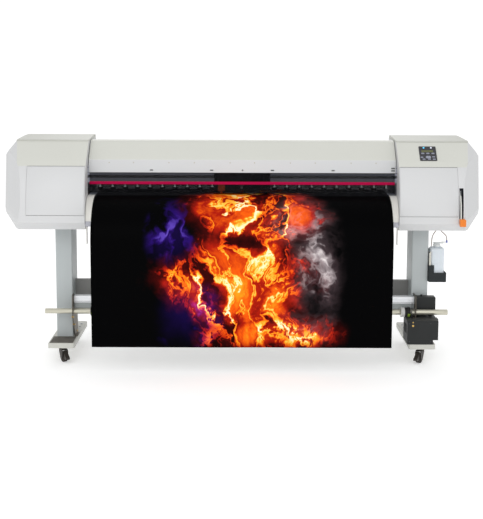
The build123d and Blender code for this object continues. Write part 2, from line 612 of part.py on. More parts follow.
# ---------------------------------------------------------- operation panel
KEYS = {"power_key": (-20.0, 43.2, 5.0), "heater_key": (21.5, 43.2, 5.0)}
with BuildPart() as control_panel:
    with BuildSketch(PANEL.offset(-6)) as panel_body:
        RectangleRounded(89.6, 101.6, 3)
    extrude(amount=6.05)
    with BuildSketch(PANEL.offset(0.05)) as panel_face:
        RectangleRounded(96, 108, 4)
    extrude(amount=2.45)
    with BuildSketch(PANEL.offset(2.5)) as key_wells:
        for u, v, r in KEYS.values():
            with Locations((u, v)):
                Circle(r + 0.4)
        for u in (-28.8, 0, 28.8):
            with Locations((u, 0.5)):
                RectangleRounded(17.8, 9.8, 2)
        with Locations((0, -28)):
            RectangleRounded(28.8, 18.8, 8)
    extrude(amount=-5, mode=Mode.SUBTRACT)
    with BuildSketch(PANEL.offset(2.5)) as lcd_recess:
        with Locations((-2, 18)):
            Rectangle(66, 15)
    extrude(amount=-1, mode=Mode.SUBTRACT)
keep(control_panel, "control_panel")

with BuildPart() as power_key:
    with BuildSketch(PANEL.offset(-0.6)) as power_face:
        with Locations(KEYS["power_key"][:2]):
            Circle(KEYS["power_key"][2])
    extrude(amount=4.4)
keep(power_key, "power_key")

with BuildPart() as heater_key:
    with BuildSketch(PANEL.offset(-0.6)) as heater_face:
        with Locations(KEYS["heater_key"][:2]):
            Circle(KEYS["heater_key"][2])
    extrude(amount=4.4)
keep(heater_key, "heater_key")

with BuildPart() as function_key_1:
    with BuildSketch(PANEL.offset(-0.6)) as function_face_1:
        with Locations((-28.8, 0.5)):
            RectangleRounded(17, 9, 1.6)
    extrude(amount=4.1)
keep(function_key_1, "function_key_1")

with BuildPart() as function_key_2:
    with BuildSketch(PANEL.offset(-0.6)) as function_face_2:
        with Locations((0, 0.5)):
            RectangleRounded(17, 9, 1.6)
    extrude(amount=4.1)
keep(function_key_2, "function_key_2")

with BuildPart() as function_key_3:
    with BuildSketch(PANEL.offset(-0.6)) as function_face_3:
        with Locations((28.8, 0.5)):
            RectangleRounded(17, 9, 1.6)
    extrude(amount=4.1)
keep(function_key_3, "function_key_3")

with BuildPart() as nav_pad:
    with BuildSketch(PANEL.offset(-0.6)) as nav_face:
        with Locations((0, -28)):
            RectangleRounded(28, 18, 7.6)
    extrude(amount=4.4)
keep(nav_pad, "nav_pad")

# ------------------------------------------------------------- clamp lever
with BuildPart() as pressure_lever:
    rod_x(1211, 1217, LEVER_Y, LEVER_Z, 14)
    prism_yz(1211, 1217, [(-264, 996), (-324, 978), (-345, 930), (-357, 862), (-358, 830), (-346, 830),
                          (-345, 860), (-333, 928), (-316, 962), (-262, 974)])
    rod_x(1210, 1218, LEVER_Y, LEVER_Z, 6.05, mode=Mode.SUBTRACT)
keep(pressure_lever, "pressure_lever")

with BuildPart() as lever_handle:
    prism_xz(-368, -338, [(1208, 811), (1241, 811), (1241, 846), (1236, 853), (1210, 853), (1206, 846)])
    fillet(lever_handle.edges().filter_by(Axis.Y), 2.5)
    fillet(lever_handle.edges().group_by(Axis.Y)[0], 5)
    box(1211, 1217, -358, -345, 829.9, 854, mode=Mode.SUBTRACT)
keep(lever_handle, "lever_handle")

# -------------------------------------------------------------- waste ink
with BuildPart() as waste_bottle:
    slab(457.3, 652, 1129, -93, 80, 76, 14)
    fillet(waste_bottle.edges().group_by(Axis.Z)[-1], 13)
    rod_z(640, 656, 1129, -95, 17)
    rod_z(636, 656, 1098, -95, 4.5)
    # screw cap with its side spout, and the elbow that the right tube enters
    rod_z(656, 670, 1129, -95, 20)
    rod_x(1108, 1164, -95, 677, 4.5)
    rod_z(668, 677, 1129, -95, 8)
    rod_x(1160, 1186, -95, 681, 2.8)
    rod_x(1156, 1168, -95, 680, 4.2)
    rod_z(677, 692, 1186, -95, 4.8)
keep(waste_bottle, "waste_bottle")

with BuildPart() as bottle_holder:
    box(1079, 1180, -142, -44, 454, 509)
    box(1083, 1177, -139, -47, 457, 519, mode=Mode.SUBTRACT)
    box(1079, 1109, -142, -139, 504, 553)
    box(1079, 1083, -142, -44, 504, 553)
    with BuildSketch(Plane(origin=(0, -44, 0), x_dir=(1, 0, 0), z_dir=(0, -1, 0))) as back_plate:
        with BuildLine():
            Polyline((1079, 504), (1160, 504), (1160, 640), (1094, 640), (1079, 626), close=True)
        make_face()
    extrude(amount=3)
keep(bottle_holder, "bottle_holder")


def tube_radii(points):
    """Arc radius at each corner: 0.45 of the shorter run over tan(half turn)."""
    out = []
    for p, q, r in zip(points, points[1:], points[2:]):
        u, v = q - p, r - q
        turn = math.radians(u.get_angle(v))
        out.append(0.45 * min(u.length, v.length) / math.tan(turn / 2))
    return out


LEFT_ROUTE = [Vector(1126, -95, 775), Vector(1126, -95, 752), Vector(1104, -95, 724),
              Vector(1098, -95, 690), Vector(1098, -95, 656)]
RIGHT_ROUTE = [Vector(1145, -95, 775), Vector(1145, -95, 752), Vector(1170, -95, 730),
               Vector(1186, -95, 714), Vector(1186, -95, 692)]

with BuildPart() as waste_tube_left:
    with BuildLine() as left_path:
        FilletPolyline(*LEFT_ROUTE, radius=tube_radii(LEFT_ROUTE))
    with BuildSketch(Plane(origin=LEFT_ROUTE[0], z_dir=(0, 0, -1))):
        Circle(TUBE_D / 2)
    sweep()
keep(waste_tube_left, "waste_tube_left")

with BuildPart() as waste_tube_right:
    with BuildLine() as right_path:
        FilletPolyline(*RIGHT_ROUTE, radius=tube_radii(RIGHT_ROUTE))
    with BuildSketch(Plane(origin=RIGHT_ROUTE[0], z_dir=(0, 0, -1))):
        Circle(TUBE_D / 2)
    sweep()
keep(waste_tube_right, "waste_tube_right")

for name, route, path, tube in (("left", LEFT_ROUTE, left_path, waste_tube_left),
                                ("right", RIGHT_ROUTE, right_path, waste_tube_right)):
    length = sum(e.length for e in path.line.edges())
    print("tube", name, "radii", [round(r, 1) for r in tube_radii(route)], "length", round(length, 1),
          "volume ratio", round(tube.part.volume / (math.pi * (TUBE_D / 2) ** 2 * length), 4))

with BuildPart() as cap_station:
    box(900, 1080, -130, -40, 842, 930)
    for x in (930, 1040):
        box(x - 22, x + 22, -120, -50, 930, 958)
        box(x - 18, x + 18, -116, -54, 948, 960, mode=Mode.SUBTRACT)
    box(982, 988, -118, -52, 930, 960)
keep(cap_station, "cap_station")

with BuildPart() as ink_cartridges:
    for k in range(8):
        x = -1180 + 31 * k
        box(x, x + 25, -246, -112, 850, 940)
keep(ink_cartridges, "ink_cartridges")

with BuildPart() as electronics_box:
    box(-1190, -940, 112, 246, 862, 1150)
    box(-1187, -943, 115, 243, 865, 1147, mode=Mode.SUBTRACT)
    box(-1180, -950, 95, 111.95, 800, 872)
    # mains inlet, with its three pins
    box(-1078, -1022, 244, 263.5, 881, 913)
    box(-1063, -1037, 249, 264, 888, 906, mode=Mode.SUBTRACT)
    for x, z in ((-1057, 894), (-1043, 894), (-1050, 900)):
        box(x - 1, x + 1, 248, 260, z - 2, z + 2)
keep(electronics_box, "electronics_box")

# ---------------------------------------------------------------- fasteners
with BuildPart() as fasteners:
    for s in (-1, 1):
        for dx in (-62, 62):
            for dy in (-102, 102):
                with BuildSketch(Plane.XY.offset(770)) as hex_top:
                    with Locations((s * LEG_X + dx, LEG_Y + dy)):
                        RegularPolygon(7, 6)
                extrude(amount=6)
        for dy in (125, 190):
            for dx in (-50, 50):
                with BuildSketch(Plane.XY.offset(FOOT_Z1)) as hex_foot:
                    with Locations((s * LEG_X + dx, dy)):
                        RegularPolygon(6, 6)
                extrude(amount=5)
keep(fasteners, "fasteners")
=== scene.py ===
import bpy, bmesh, math, random
from mathutils import Vector, Matrix


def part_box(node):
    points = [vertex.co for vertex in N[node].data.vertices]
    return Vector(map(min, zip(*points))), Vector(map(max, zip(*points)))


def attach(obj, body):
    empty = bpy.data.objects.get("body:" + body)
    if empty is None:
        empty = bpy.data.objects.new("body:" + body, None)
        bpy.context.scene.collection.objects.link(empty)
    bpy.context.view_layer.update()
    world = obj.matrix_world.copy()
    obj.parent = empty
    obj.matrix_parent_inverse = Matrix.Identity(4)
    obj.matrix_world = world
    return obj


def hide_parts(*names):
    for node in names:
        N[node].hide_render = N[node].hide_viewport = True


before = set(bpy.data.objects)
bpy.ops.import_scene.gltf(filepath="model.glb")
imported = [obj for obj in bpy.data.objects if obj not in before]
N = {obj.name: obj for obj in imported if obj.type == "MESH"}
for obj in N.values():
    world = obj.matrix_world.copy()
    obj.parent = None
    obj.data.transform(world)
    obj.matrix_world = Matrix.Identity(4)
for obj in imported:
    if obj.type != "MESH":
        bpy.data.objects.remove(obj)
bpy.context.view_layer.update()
scene = bpy.context.scene
scene.view_settings.view_transform = "Standard"
scene.view_settings.look = "None"
random.seed(7)

# ------------------------------------------------------------------ camera
cam_data = bpy.data.cameras.new("camera")
cam_data.lens = 76.503
cam_data.sensor_width = 36.0
cam_data.shift_x = -0.0012
cam_data.shift_y = -0.1
cam_data.clip_end = 600
cam = bpy.data.objects.new("camera", cam_data)
scene.collection.objects.link(cam)
PITCH = math.radians(7.7755)
cam.matrix_world = (Matrix.Translation((0, -6.4, 1.7396))
                    @ Matrix.Rotation(math.pi / 2 - PITCH, 4, "X")
                    @ Matrix.Rotation(math.radians(0.2), 4, "Z"))
scene.camera = cam


# --------------------------------------------------------------- utilities
def new_obj(name, mesh, body=None, mats=()):
    o = bpy.data.objects.new(name, mesh)
    scene.collection.objects.link(o)
    for m in mats:
        o.data.materials.append(m)
    if body:
        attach(o, body)
    return o


def from_bm(name, bm, body, mats, smooth=35):
    me = bpy.data.meshes.new(name)
    bmesh.ops.recalc_face_normals(bm, faces=bm.faces)
    bm.to_mesh(me)
    bm.free()
    o = new_obj(name, me, body, mats if isinstance(mats, (list, tuple)) else [mats])
    shade(me, smooth)
    return o


def shade(me, angle):
    for p in me.polygons:
        p.use_smooth = True
    bm = bmesh.new()
    bm.from_mesh(me)
    lim = math.radians(angle)
    for e in bm.edges:
        e.smooth = not (len(e.link_faces) == 2 and e.calc_face_angle(0) > lim)
    bm.to_mesh(me)
    bm.free()


def bm_box(bm, lo, hi, bevel=0.0, segments=2, matrix=None):
    """A box with softened edges, added to bm."""
    lo, hi = Vector(lo), Vector(hi)
    ret = bmesh.ops.create_cube(bm, size=1.0)
    vs = ret["verts"]
    for v in vs:
        v.co = Vector((lo[i] + (v.co[i] + 0.5) * (hi[i] - lo[i]) for i in range(3)))
    if bevel:
        es = list({e for v in vs for e in v.link_edges})
        r = bmesh.ops.bevel(bm, geom=es, offset=bevel, segments=segments, profile=0.5, affect="EDGES", clamp_overlap=True)
        vs = list({v for f in r["faces"] for v in f.verts} | {v for v in vs if v.is_valid})
    if matrix is not None:
        bmesh.ops.transform(bm, matrix=matrix, verts=[v for v in vs if v.is_valid])
    return vs


def bm_lathe(bm, profile, at, axis, seg=32, hexed=()):
    """Turns profile [(radius, height)] round axis at the point at. Rings listed in hexed are made six sided."""
    z = Vector(axis).normalized()
    rot = z.to_track_quat("Z", "Y").to_matrix().to_4x4()
    rings = []
    for k, (r, h) in enumerate(profile):
        if r <= 1e-9:
            rings.append([bm.verts.new((0, 0, h))])
            continue
        ring = []
        for i in range(seg):
            a = 2 * math.pi * i / seg
            rr = r
            if k in hexed:
                s = math.pi / 3
                rr = r * math.cos(s / 2) / math.cos((a % s) - s / 2)
            ring.append(bm.verts.new((rr * math.cos(a), rr * math.sin(a), h)))
        rings.append(ring)
    for p, q in zip(rings, rings[1:]):
        if len(p) == 1 and len(q) == 1:
            continue
        for i in range(seg):
            j = (i + 1) % seg
            if len(p) == 1:
                bm.faces.new((p[0], q[i], q[j]))
            elif len(q) == 1:
                bm.faces.new((p[i], p[j], q[0]))
            else:
                bm.faces.new((p[i], p[j], q[j], q[i]))
    vs = [v for ring in rings for v in ring]
    bmesh.ops.transform(bm, matrix=Matrix.Translation(Vector(at)) @ rot, verts=vs)
    return vs


def bm_screw(bm, at, axis, r=0.003, h=0.0016):
    """Socket button head screw."""
    bm_lathe(bm, [(r, 0), (r, h * 0.25), (r * 0.93, h * 0.62), (r * 0.72, h * 0.92), (r * 0.52, h),
                  (r * 0.5, h), (r * 0.5, h * 0.25), (0, h * 0.2)], at, axis, seg=24, hexed=(5, 6))


# --------------------------------------------------------------- materials
def mat(name, base, rough=0.45, metallic=0.0, spec=0.5, vary=0.03, vary_scale=6.0, grain=900.0, bump=0.02,
        rough_vary=0.06, coat=0.0, brushed=None, trans=0.0, ior=1.45, alpha=1.0, emit=None, dust=0.0, subsurface=0.0):
    """Painted, moulded or machined surface: broad tone variation, fine grain in the bump and the roughness,
    optional brushing along an axis, and a little settled dust on faces that look up."""
    m = bpy.data.materials.new(name)
    m.use_nodes = True
    nt = m.node_tree
    b = nt.nodes["Principled BSDF"]
    b.inputs["Metallic"].default_value = metallic
    b.inputs["Specular IOR Level"].default_value = spec
    b.inputs["IOR"].default_value = ior
    if coat:
        b.inputs["Coat Weight"].default_value = coat
        b.inputs["Coat Roughness"].default_value = 0.12
    if trans:
        b.inputs["Transmission Weight"].default_value = trans
    if alpha < 1:
        b.inputs["Alpha"].default_value = alpha
    if subsurface:
        b.inputs["Subsurface Weight"].default_value = subsurface
        b.inputs["Subsurface Radius"].default_value = (0.01, 0.01, 0.01)
    if emit:
        b.inputs["Emission Color"].default_value = (*emit[0], 1)
        b.inputs["Emission Strength"].default_value = emit[1]
    tc = nt.nodes.new("ShaderNodeTexCoord")
    big = nt.nodes.new("ShaderNodeTexNoise")
    big.inputs["Scale"].default_value = vary_scale
    big.inputs["Detail"].default_value = 5
    big.inputs["Roughness"].default_value = 0.6
    nt.links.new(tc.outputs["Object"], big.inputs["Vector"])
    ramp = nt.nodes.new("ShaderNodeValToRGB")
    ramp.color_ramp.elements[0].position = 0.3
    ramp.color_ramp.elements[1].position = 0.7
    lo = [max(0, c * (1 - vary)) for c in base[:3]]
    hi = [min(1, c * (1 + vary)) for c in base[:3]]
    ramp.color_ramp.elements[0].color = (*lo, 1)
    ramp.color_ramp.elements[1].color = (*hi, 1)
    nt.links.new(big.outputs["Fac"], ramp.inputs["Fac"])
    colour = ramp.outputs["Color"]
    fine = nt.nodes.new("ShaderNodeTexNoise")
    fine.inputs["Detail"].default_value = 3
    if brushed:
        mp = nt.nodes.new("ShaderNodeMapping")
        mp.inputs["Scale"].default_value = tuple(4 if a == brushed else 1 * grain / 4 for a in "xyz")
        nt.links.new(tc.outputs["Object"], mp.inputs["Vector"])
        nt.links.new(mp.outputs["Vector"], fine.inputs["Vector"])
        fine.inputs["Scale"].default_value = 4
    else:
        fine.inputs["Scale"].default_value = grain
        nt.links.new(tc.outputs["Object"], fine.inputs["Vector"])
    if dust:
        geo = nt.nodes.new("ShaderNodeNewGeometry")
        sep = nt.nodes.new("ShaderNodeSeparateXYZ")
        nt.links.new(geo.outputs["Normal"], sep.inputs["Vector"])
        mr = nt.nodes.new("ShaderNodeMapRange")
        mr.inputs["From Min"].default_value = 0.6
        mr.inputs["From Max"].default_value = 1.0
        mr.inputs["To Max"].default_value = dust
        nt.links.new(sep.outputs["Z"], mr.inputs["Value"])
        mul = nt.nodes.new("ShaderNodeMath")
        mul.operation = "MULTIPLY"
        nt.links.new(mr.outputs["Result"], mul.inputs[0])
        nt.links.new(big.outputs["Fac"], mul.inputs[1])
        mx = nt.nodes.new("ShaderNodeMix")
        mx.data_type = "RGBA"
        mx.inputs["B"].default_value = (0.62, 0.60, 0.55, 1)
        nt.links.new(mul.outputs["Value"], mx.inputs["Factor"])
        nt.links.new(colour, mx.inputs["A"])
        colour = mx.outputs["Result"]
    nt.links.new(colour, b.inputs["Base Color"])
    rr = nt.nodes.new("ShaderNodeMapRange")
    rr.inputs["To Min"].default_value = max(0.02, rough - rough_vary)
    rr.inputs["To Max"].default_value = min(1, rough + rough_vary)
    nt.links.new(fine.outputs["Fac"], rr.inputs["Value"])
    nt.links.new(rr.outputs["Result"], b.inputs["Roughness"])
    bp = nt.nodes.new("ShaderNodeBump")
    bp.inputs["Strength"].default_value = bump * 10 if bump * 10 < 1 else 1
    bp.inputs["Distance"].default_value = 0.0004
    nt.links.new(fine.outputs["Fac"], bp.inputs["Height"])
    nt.links.new(bp.outputs["Normal"], b.inputs["Normal"])
    return m


def lin(r, g, b):
    return tuple(((c / 255 + 0.055) / 1.055) ** 2.4 if c > 10 else c / 255 / 12.92 for c in (r, g, b))


def pale(r, g, b):
    """A light colour, held down so that it doesn't burn out on the white sweep."""
    return tuple(0.735 * c for c in lin(r, g, b))


M = {}
M["cover"] = mat("cover_paint", pale(232, 233, 234), rough=0.42, vary=0.012, vary_scale=3, grain=700, bump=0.012, dust=0.10)
M["cover_warm"] = mat("cover_paint_warm", pale(234, 235, 227), rough=0.42, vary=0.012, vary_scale=3, grain=700, bump=0.012, dust=0.10)
M["cover_in"] = mat("cover_inside", pale(150, 152, 152), rough=0.6, vary=0.04, grain=500, bump=0.02)
M["cream"] = mat("cream_paint", lin(233, 231, 225), rough=0.34, vary=0.012, grain=900, bump=0.01)
M["lip"] = mat("lip_lavender", pale(205, 206, 216), rough=0.4, vary=0.015)
M["leg"] = mat("leg_paint", pale(206, 213, 214), rough=0.45, vary=0.03, vary_scale=4, grain=800, bump=0.015)
M["foot"] = mat("foot_paint", lin(194, 194, 187), rough=0.48, vary=0.04, vary_scale=8, grain=800, bump=0.015, dust=0.25)
M["tread"] = mat("tread_pad_and_shadow", pale(92, 87, 80), rough=0.75, vary=0.10, vary_scale=30, grain=600, bump=0.08, dust=0.2)
M["beam"] = mat("beam_paint", pale(150, 150, 148), rough=0.5, vary=0.04, grain=800, bump=0.015)
M["alu"] = mat("anodised_aluminium", lin(236, 238, 241), rough=0.32, metallic=0.55, vary=0.015, grain=1200, bump=0.01, brushed="x")
M["alu_grey"] = mat("machined_aluminium", lin(150, 153, 156), rough=0.38, metallic=0.8, vary=0.02, grain=1200, bump=0.01, brushed="x")
M["steel"] = mat("dull_steel", lin(120, 116, 110), rough=0.42, metallic=0.8, vary=0.06, vary_scale=20, grain=900, bump=0.015)
M["zinc"] = mat("zinc_plate", lin(175, 178, 182), rough=0.40, metallic=0.85, vary=0.08, vary_scale=40, grain=300, bump=0.015)
M["dark_steel"] = mat("dark_steel", lin(72, 74, 77), rough=0.4, metallic=0.7, vary=0.06, vary_scale=20, grain=900, bump=0.015)
M["black_case"] = mat("black_case_paint", lin(38, 40, 40), rough=0.55, spec=0.3, vary=0.05, vary_scale=12, grain=1400, bump=0.05, dust=0.12)
M["black"] = mat("black_plastic", lin(30, 30, 32), rough=0.5, vary=0.08, vary_scale=20, grain=1500, bump=0.04)
M["holder"] = mat("holder_black", lin(37, 42, 44), rough=0.55, spec=0.3, vary=0.05, vary_scale=15, grain=1300, bump=0.04, dust=0.1)
M["beige"] = mat("bracket_beige", lin(200, 198, 188), rough=0.5, vary=0.03, grain=800)
M["panel"] = mat("panel_face", lin(38, 38, 44), rough=0.33, vary=0.05, grain=1500, bump=0.02, coat=0.3)
M["key_nav"] = mat("key_nav", lin(150, 154, 168), rough=0.38, vary=0.03, grain=1500, bump=0.02)
M["key"] = mat("key_grey", lin(138, 141, 156), rough=0.4, vary=0.03, grain=1500, bump=0.02)
M["key_blue"] = mat("key_blue", lin(96, 190, 232), rough=0.25, vary=0.02, coat=0.4, emit=(lin(70, 180, 235), 0.7))
M["key_white"] = mat("key_white", lin(222, 226, 238), rough=0.25, vary=0.02, coat=0.4, emit=(lin(200, 205, 225), 0.35))
M["lcd"] = mat("lcd_face", lin(96, 98, 58), rough=0.25, vary=0.05, vary_scale=60, coat=0.4, emit=(lin(120, 122, 60), 0.10))
M["lcd_dark"] = mat("lcd_segments", lin(52, 54, 34), rough=0.3, vary=0.02)
M["green"] = mat("lock_green", lin(132, 160, 52), rough=0.35, vary=0.04, coat=0.2)
M["orange"] = mat("handle_orange", lin(226, 122, 22), rough=0.36, vary=0.03, vary_scale=40, grain=1200, bump=0.02, coat=0.15)
# the cutter holder glows faintly orange: painted light, it is no lamp
M["cutter"] = mat("cutter_orange", lin(250, 105, 38), rough=0.4, vary=0.04, grain=1200, bump=0.02, emit=((0.9, 0.18, 0.04), 0.15))
M["lever"] = mat("lever_white", pale(232, 232, 226), rough=0.4, vary=0.02)
M["rubber"] = mat("rubber_black", lin(34, 33, 33), rough=0.7, spec=0.3, vary=0.08, vary_scale=30, grain=1200, bump=0.04)
M["tyre"] = mat("wheel_tyre", lin(52, 48, 44), rough=0.65, spec=0.3, vary=0.12, vary_scale=40, grain=1200, bump=0.05)
M["caster"] = mat("caster_plate", lin(56, 52, 48), rough=0.36, metallic=0.55, vary=0.10, vary_scale=40, grain=900, bump=0.02)
M["shaft"] = mat("shaft_tube", lin(200, 197, 181), rough=0.30, metallic=0.7, vary=0.04, vary_scale=10, grain=1500, bump=0.01, brushed="x")
M["white_plastic"] = mat("white_plastic", pale(232, 232, 230), rough=0.4, vary=0.02, subsurface=0.05)
M["bottle"] = mat("bottle_plastic", lin(214, 221, 227), rough=0.38, vary=0.03, vary_scale=12, grain=200, bump=0.02, subsurface=0.25)
M["spout"] = mat("spout_plastic", lin(218, 221, 221), rough=0.3, vary=0.02, subsurface=0.2)
M["blue_fit"] = mat("fitting_blue", lin(110, 120, 190), rough=0.35, vary=0.03)
M["tube"] = mat("ink_tube", pale(200, 184, 176), rough=0.25, vary=0.10, vary_scale=60, coat=0.5, spec=0.6)
M["stripe"] = mat("stripe_magenta", lin(172, 4, 64), rough=0.45, spec=0.06, vary=0.03, vary_scale=20, grain=1500, bump=0.01)
M["brass"] = mat("brass", lin(200, 165, 95), rough=0.3, metallic=0.9, vary=0.05, vary_scale=60)
M["cover_top"] = mat("cover_paint_top", pale(212, 213, 204), rough=0.42, vary=0.012, vary_scale=3, grain=700, bump=0.012, dust=0.08)
# the carriage beam glows faintly blue: painted light that lifts it where it is seen through the tinted window
M["beam_glow_pale"] = mat("beam_painted_glow", lin(226, 228, 236), rough=0.5, metallic=0.0, spec=0.3, vary=0.02, grain=1200, bump=0.01, emit=((0.78, 0.80, 0.95), 0.21))
# pale springs that glow: a painted highlight on the pinch springs behind the window
M["tick"] = mat("spring_pale_painted_glow", lin(225, 226, 228), rough=0.4, vary=0.03, emit=((0.9, 0.9, 0.9), 0.7))
M["bracket"] = mat("bracket_plate", lin(98, 92, 82), rough=0.5, metallic=0.5, vary=0.06, vary_scale=20, grain=900, bump=0.015)
M["chrome"] = mat("feed_roller_plate", lin(190, 192, 195), rough=0.22, metallic=0.9, vary=0.03, grain=2500, bump=0.06)
M["copper_label"] = mat("rivet_tan", pale(196, 188, 168), rough=0.4, metallic=0.3, vary=0.04)
M["pad"] = mat("pad_dark", lin(84, 86, 86), rough=0.55, vary=0.05)
M["belt"] = mat("belt_black", lin(30, 30, 30), rough=0.65, vary=0.05, grain=800, bump=0.05)
M["ink"] = mat("cartridge_black", lin(42, 42, 44), rough=0.4, vary=0.04, grain=1200, bump=0.02)
M["vent"] = mat("vent_slot_painted_shade", lin(60, 61, 62), rough=0.7, vary=0.05)
M["paper_back"] = mat("web_back_paper", pale(226, 225, 220), rough=0.6, vary=0.02, vary_scale=20, grain=500, bump=0.01)


def tinted():
    m = mat("tinted_acrylic", lin(14, 14, 17), rough=0.08, spec=0.06, vary=0.02, grain=300, bump=0.0, rough_vary=0.02, coat=0.0, alpha=1.0)
    b = m.node_tree.nodes["Principled BSDF"]
    b.inputs["Alpha"].default_value = 0.54
    return m


M["tint"] = tinted()


def roll_paper():
    """The wound roll: pale paper backing round the outside, and fine winding rings on the end faces."""
    m = mat("web_roll", pale(228, 227, 222), rough=0.55, vary=0.015, vary_scale=6, grain=400, bump=0.01)
    nt = m.node_tree
    b = nt.nodes["Principled BSDF"]
    tc = nt.nodes.new("ShaderNodeTexCoord")
    sep = nt.nodes.new("ShaderNodeSeparateXYZ")
    nt.links.new(tc.outputs["Object"], sep.inputs["Vector"])
    lo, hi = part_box("supply_roll")
    cy, cz = (lo.y + hi.y) / 2, (lo.z + hi.z) / 2
    comb = nt.nodes.new("ShaderNodeCombineXYZ")
    for axis, c, k in (("Y", cy, 1), ("Z", cz, 2)):
        s = nt.nodes.new("ShaderNodeMath")
        s.operation = "SUBTRACT"
        s.inputs[1].default_value = c
        nt.links.new(sep.outputs[axis], s.inputs[0])
        nt.links.new(s.outputs[0], comb.inputs[k])
    ln = nt.nodes.new("ShaderNodeVectorMath")
    ln.operation = "LENGTH"
    nt.links.new(comb.outputs[0], ln.inputs[0])
    wv = nt.nodes.new("ShaderNodeMath")
    wv.operation = "MULTIPLY"
    wv.inputs[1].default_value = 2600
    nt.links.new(ln.outputs["Value"], wv.inputs[0])
    sn = nt.nodes.new("ShaderNodeMath")
    sn.operation = "SINE"
    nt.links.new(wv.outputs[0], sn.inputs[0])
    mr = nt.nodes.new("ShaderNodeMapRange")
    mr.inputs["From Min"].default_value = -1
    mr.inputs["To Min"].default_value = 0.80
    mr.inputs["To Max"].default_value = 1.0
    nt.links.new(sn.outputs[0], mr.inputs["Value"])
    mx = nt.nodes.new("ShaderNodeMix")
    mx.data_type = "RGBA"
    mx.blend_type = "MULTIPLY"
    mx.inputs["Factor"].default_value = 1
    src = b.inputs["Base Color"].links[0].from_socket
    nt.links.new(src, mx.inputs["A"])
    nt.links.new(mr.outputs["Result"], mx.inputs["B"])
    nt.links.new(mx.outputs["Result"], b.inputs["Base Color"])
    return m


M["roll"] = roll_paper()

NODE_MAT = {
    "stand_legs": "leg", "stand_feet": "foot", "cross_beam": "beam", "takeup_rail": "alu", "takeup_brackets": "bracket",
    "takeup_drive": "black_case", "chassis": "zinc", "platen": "alu_grey", "front_guide": "cream", "rear_guide": "cream",
    "carriage_beam": "beam_glow_pale", "drive_belt": "belt", "drive_motors": "dark_steel", "supply_brackets": "steel",
    "right_end_cover": "cover", "left_end_cover": "cover", "top_covers": "cover_top", "rear_cover": "cover_warm",
    "control_panel": "panel", "waste_bottle": "bottle", "bottle_holder": "holder", "cap_station": "black",
    "ink_cartridges": "ink", "electronics_box": "zinc", "fasteners": "zinc", "hood": "cover", "hood_window": "tint",
    "left_door": "cover", "right_door": "cover", "power_key": "key_blue", "heater_key": "key_white",
    "function_key_1": "key", "function_key_2": "key", "function_key_3": "key", "nav_pad": "key_nav",
    "pressure_lever": "lever", "lever_handle": "orange", "carriage": "black", "print_heads": "zinc",
    "cutter_holder": "cutter", "drive_pulley": "alu_grey", "idler_pulley": "alu_grey", "feed_roller": "chrome",
    "pinch_arms": "black", "pinch_rollers": "rubber", "supply_roll": "roll", "takeup_shaft": "shaft",
    "media_web": "paper_back", "waste_tube_left": "tube", "waste_tube_right": "tube",
}
for c in ("fl", "fr", "rl", "rr"):
    NODE_MAT["caster_fork_" + c] = "caster"
    NODE_MAT["caster_wheel_" + c] = "tyre"
for c in ("fl", "fr"):
    NODE_MAT["caster_brake_" + c] = "caster"

BEVEL = {"stand_legs": 0.0012, "stand_feet": 0.001, "cross_beam": 0.001, "takeup_rail": 0.0006, "takeup_drive": 0.0012,
         "right_end_cover": 0.0012, "left_end_cover": 0.0012, "right_door": 0.001, "left_door": 0.001,
         "top_covers": 0.002, "rear_cover": 0.0008, "hood_window": 0.0005, "bottle_holder": 0.001,
         "carriage": 0.002, "control_panel": 0.0006, "lever_handle": 0.0, "ink_cartridges": 0.002, "cap_station": 0.002,
         "electronics_box": 0.001, "print_heads": 0.001, "drive_motors": 0.0015, "pressure_lever": 0.0008,
         "caster_brake_fl": 0.001, "caster_brake_fr": 0.001, "chassis": 0.0008, "platen": 0.0006}
for n, o in N.items():
    o.data.materials.clear()
    o.data.materials.append(M[NODE_MAT[n]])
    w = BEVEL.get(n, 0.0005)
    if n == "hood":
        continue
    weld = o.modifiers.new("weld", "WELD")
    weld.merge_threshold = 0.00001
    if w:
        bev = o.modifiers.new("bevel", "BEVEL")
        bev.width = w
        bev.segments = 2
        bev.limit_method = "ANGLE"
        bev.angle_limit = math.radians(38)
        bev.use_clamp_overlap = True
        bev.harden_normals = False


def second(node, material, test):
    """Gives a CAD node's faces that pass the test another material."""
    o = N[node]
    o.data.materials.append(M[material])
    k = len(o.data.materials) - 1
    for p in o.data.polygons:
        if test(p.center, p.normal):
            p.material_index = k


# faces that look up on the end covers and the hood get a warmer, slightly lighter copy of the cover paint: painted
# light from above
for n, s in (("right_end_cover", 1), ("left_end_cover", -1)):
    second(n, "cover_warm", lambda c, q: q.z > 0.35 and c.z > 1.13 and abs(q.x) < 0.2)
second("hood", "cover_warm", lambda c, q: q.z > 0.3 or c.z > 1.165)
second("front_guide", "lip", lambda c, q: c.y < -0.3199 and c.z < 0.8295)
second("takeup_shaft", "white_plastic", lambda c, q: (c.x > 0.9139 and c.x < 0.9361 and Vector((c.y + .19, c.z - .288)).length > .0163) or (c.x > -0.8362 and c.x < -0.8288 and Vector((c.y + .19, c.z - .288)).length > .0163))
second("takeup_shaft", "rubber", lambda c, q: (0.9361 <= c.x < 0.9685 or -0.8685 < c.x < -0.8362) and Vector((c.y + .19, c.z - .288)).length > .0163)
second("takeup_shaft", "green", lambda c, q: (0.9515 <= c.x < 0.9665 or -0.8645 < c.x < -0.8495) and Vector((c.y + .19, c.z - .288)).length > .0271 and c.z < 0.284 and c.y < -0.185)
second("waste_bottle", "spout", lambda c, q: c.z > 0.6565)
second("waste_bottle", "blue_fit", lambda c, q: c.x > 1.1805 and c.z > 0.6765)
second("bottle_holder", "beige", lambda c, q: c.z > 0.5535)
second("carriage_beam", "chrome", lambda c, q: c.y < -0.0005)
second("print_heads", "black", lambda c, q: c.z > 0.972)
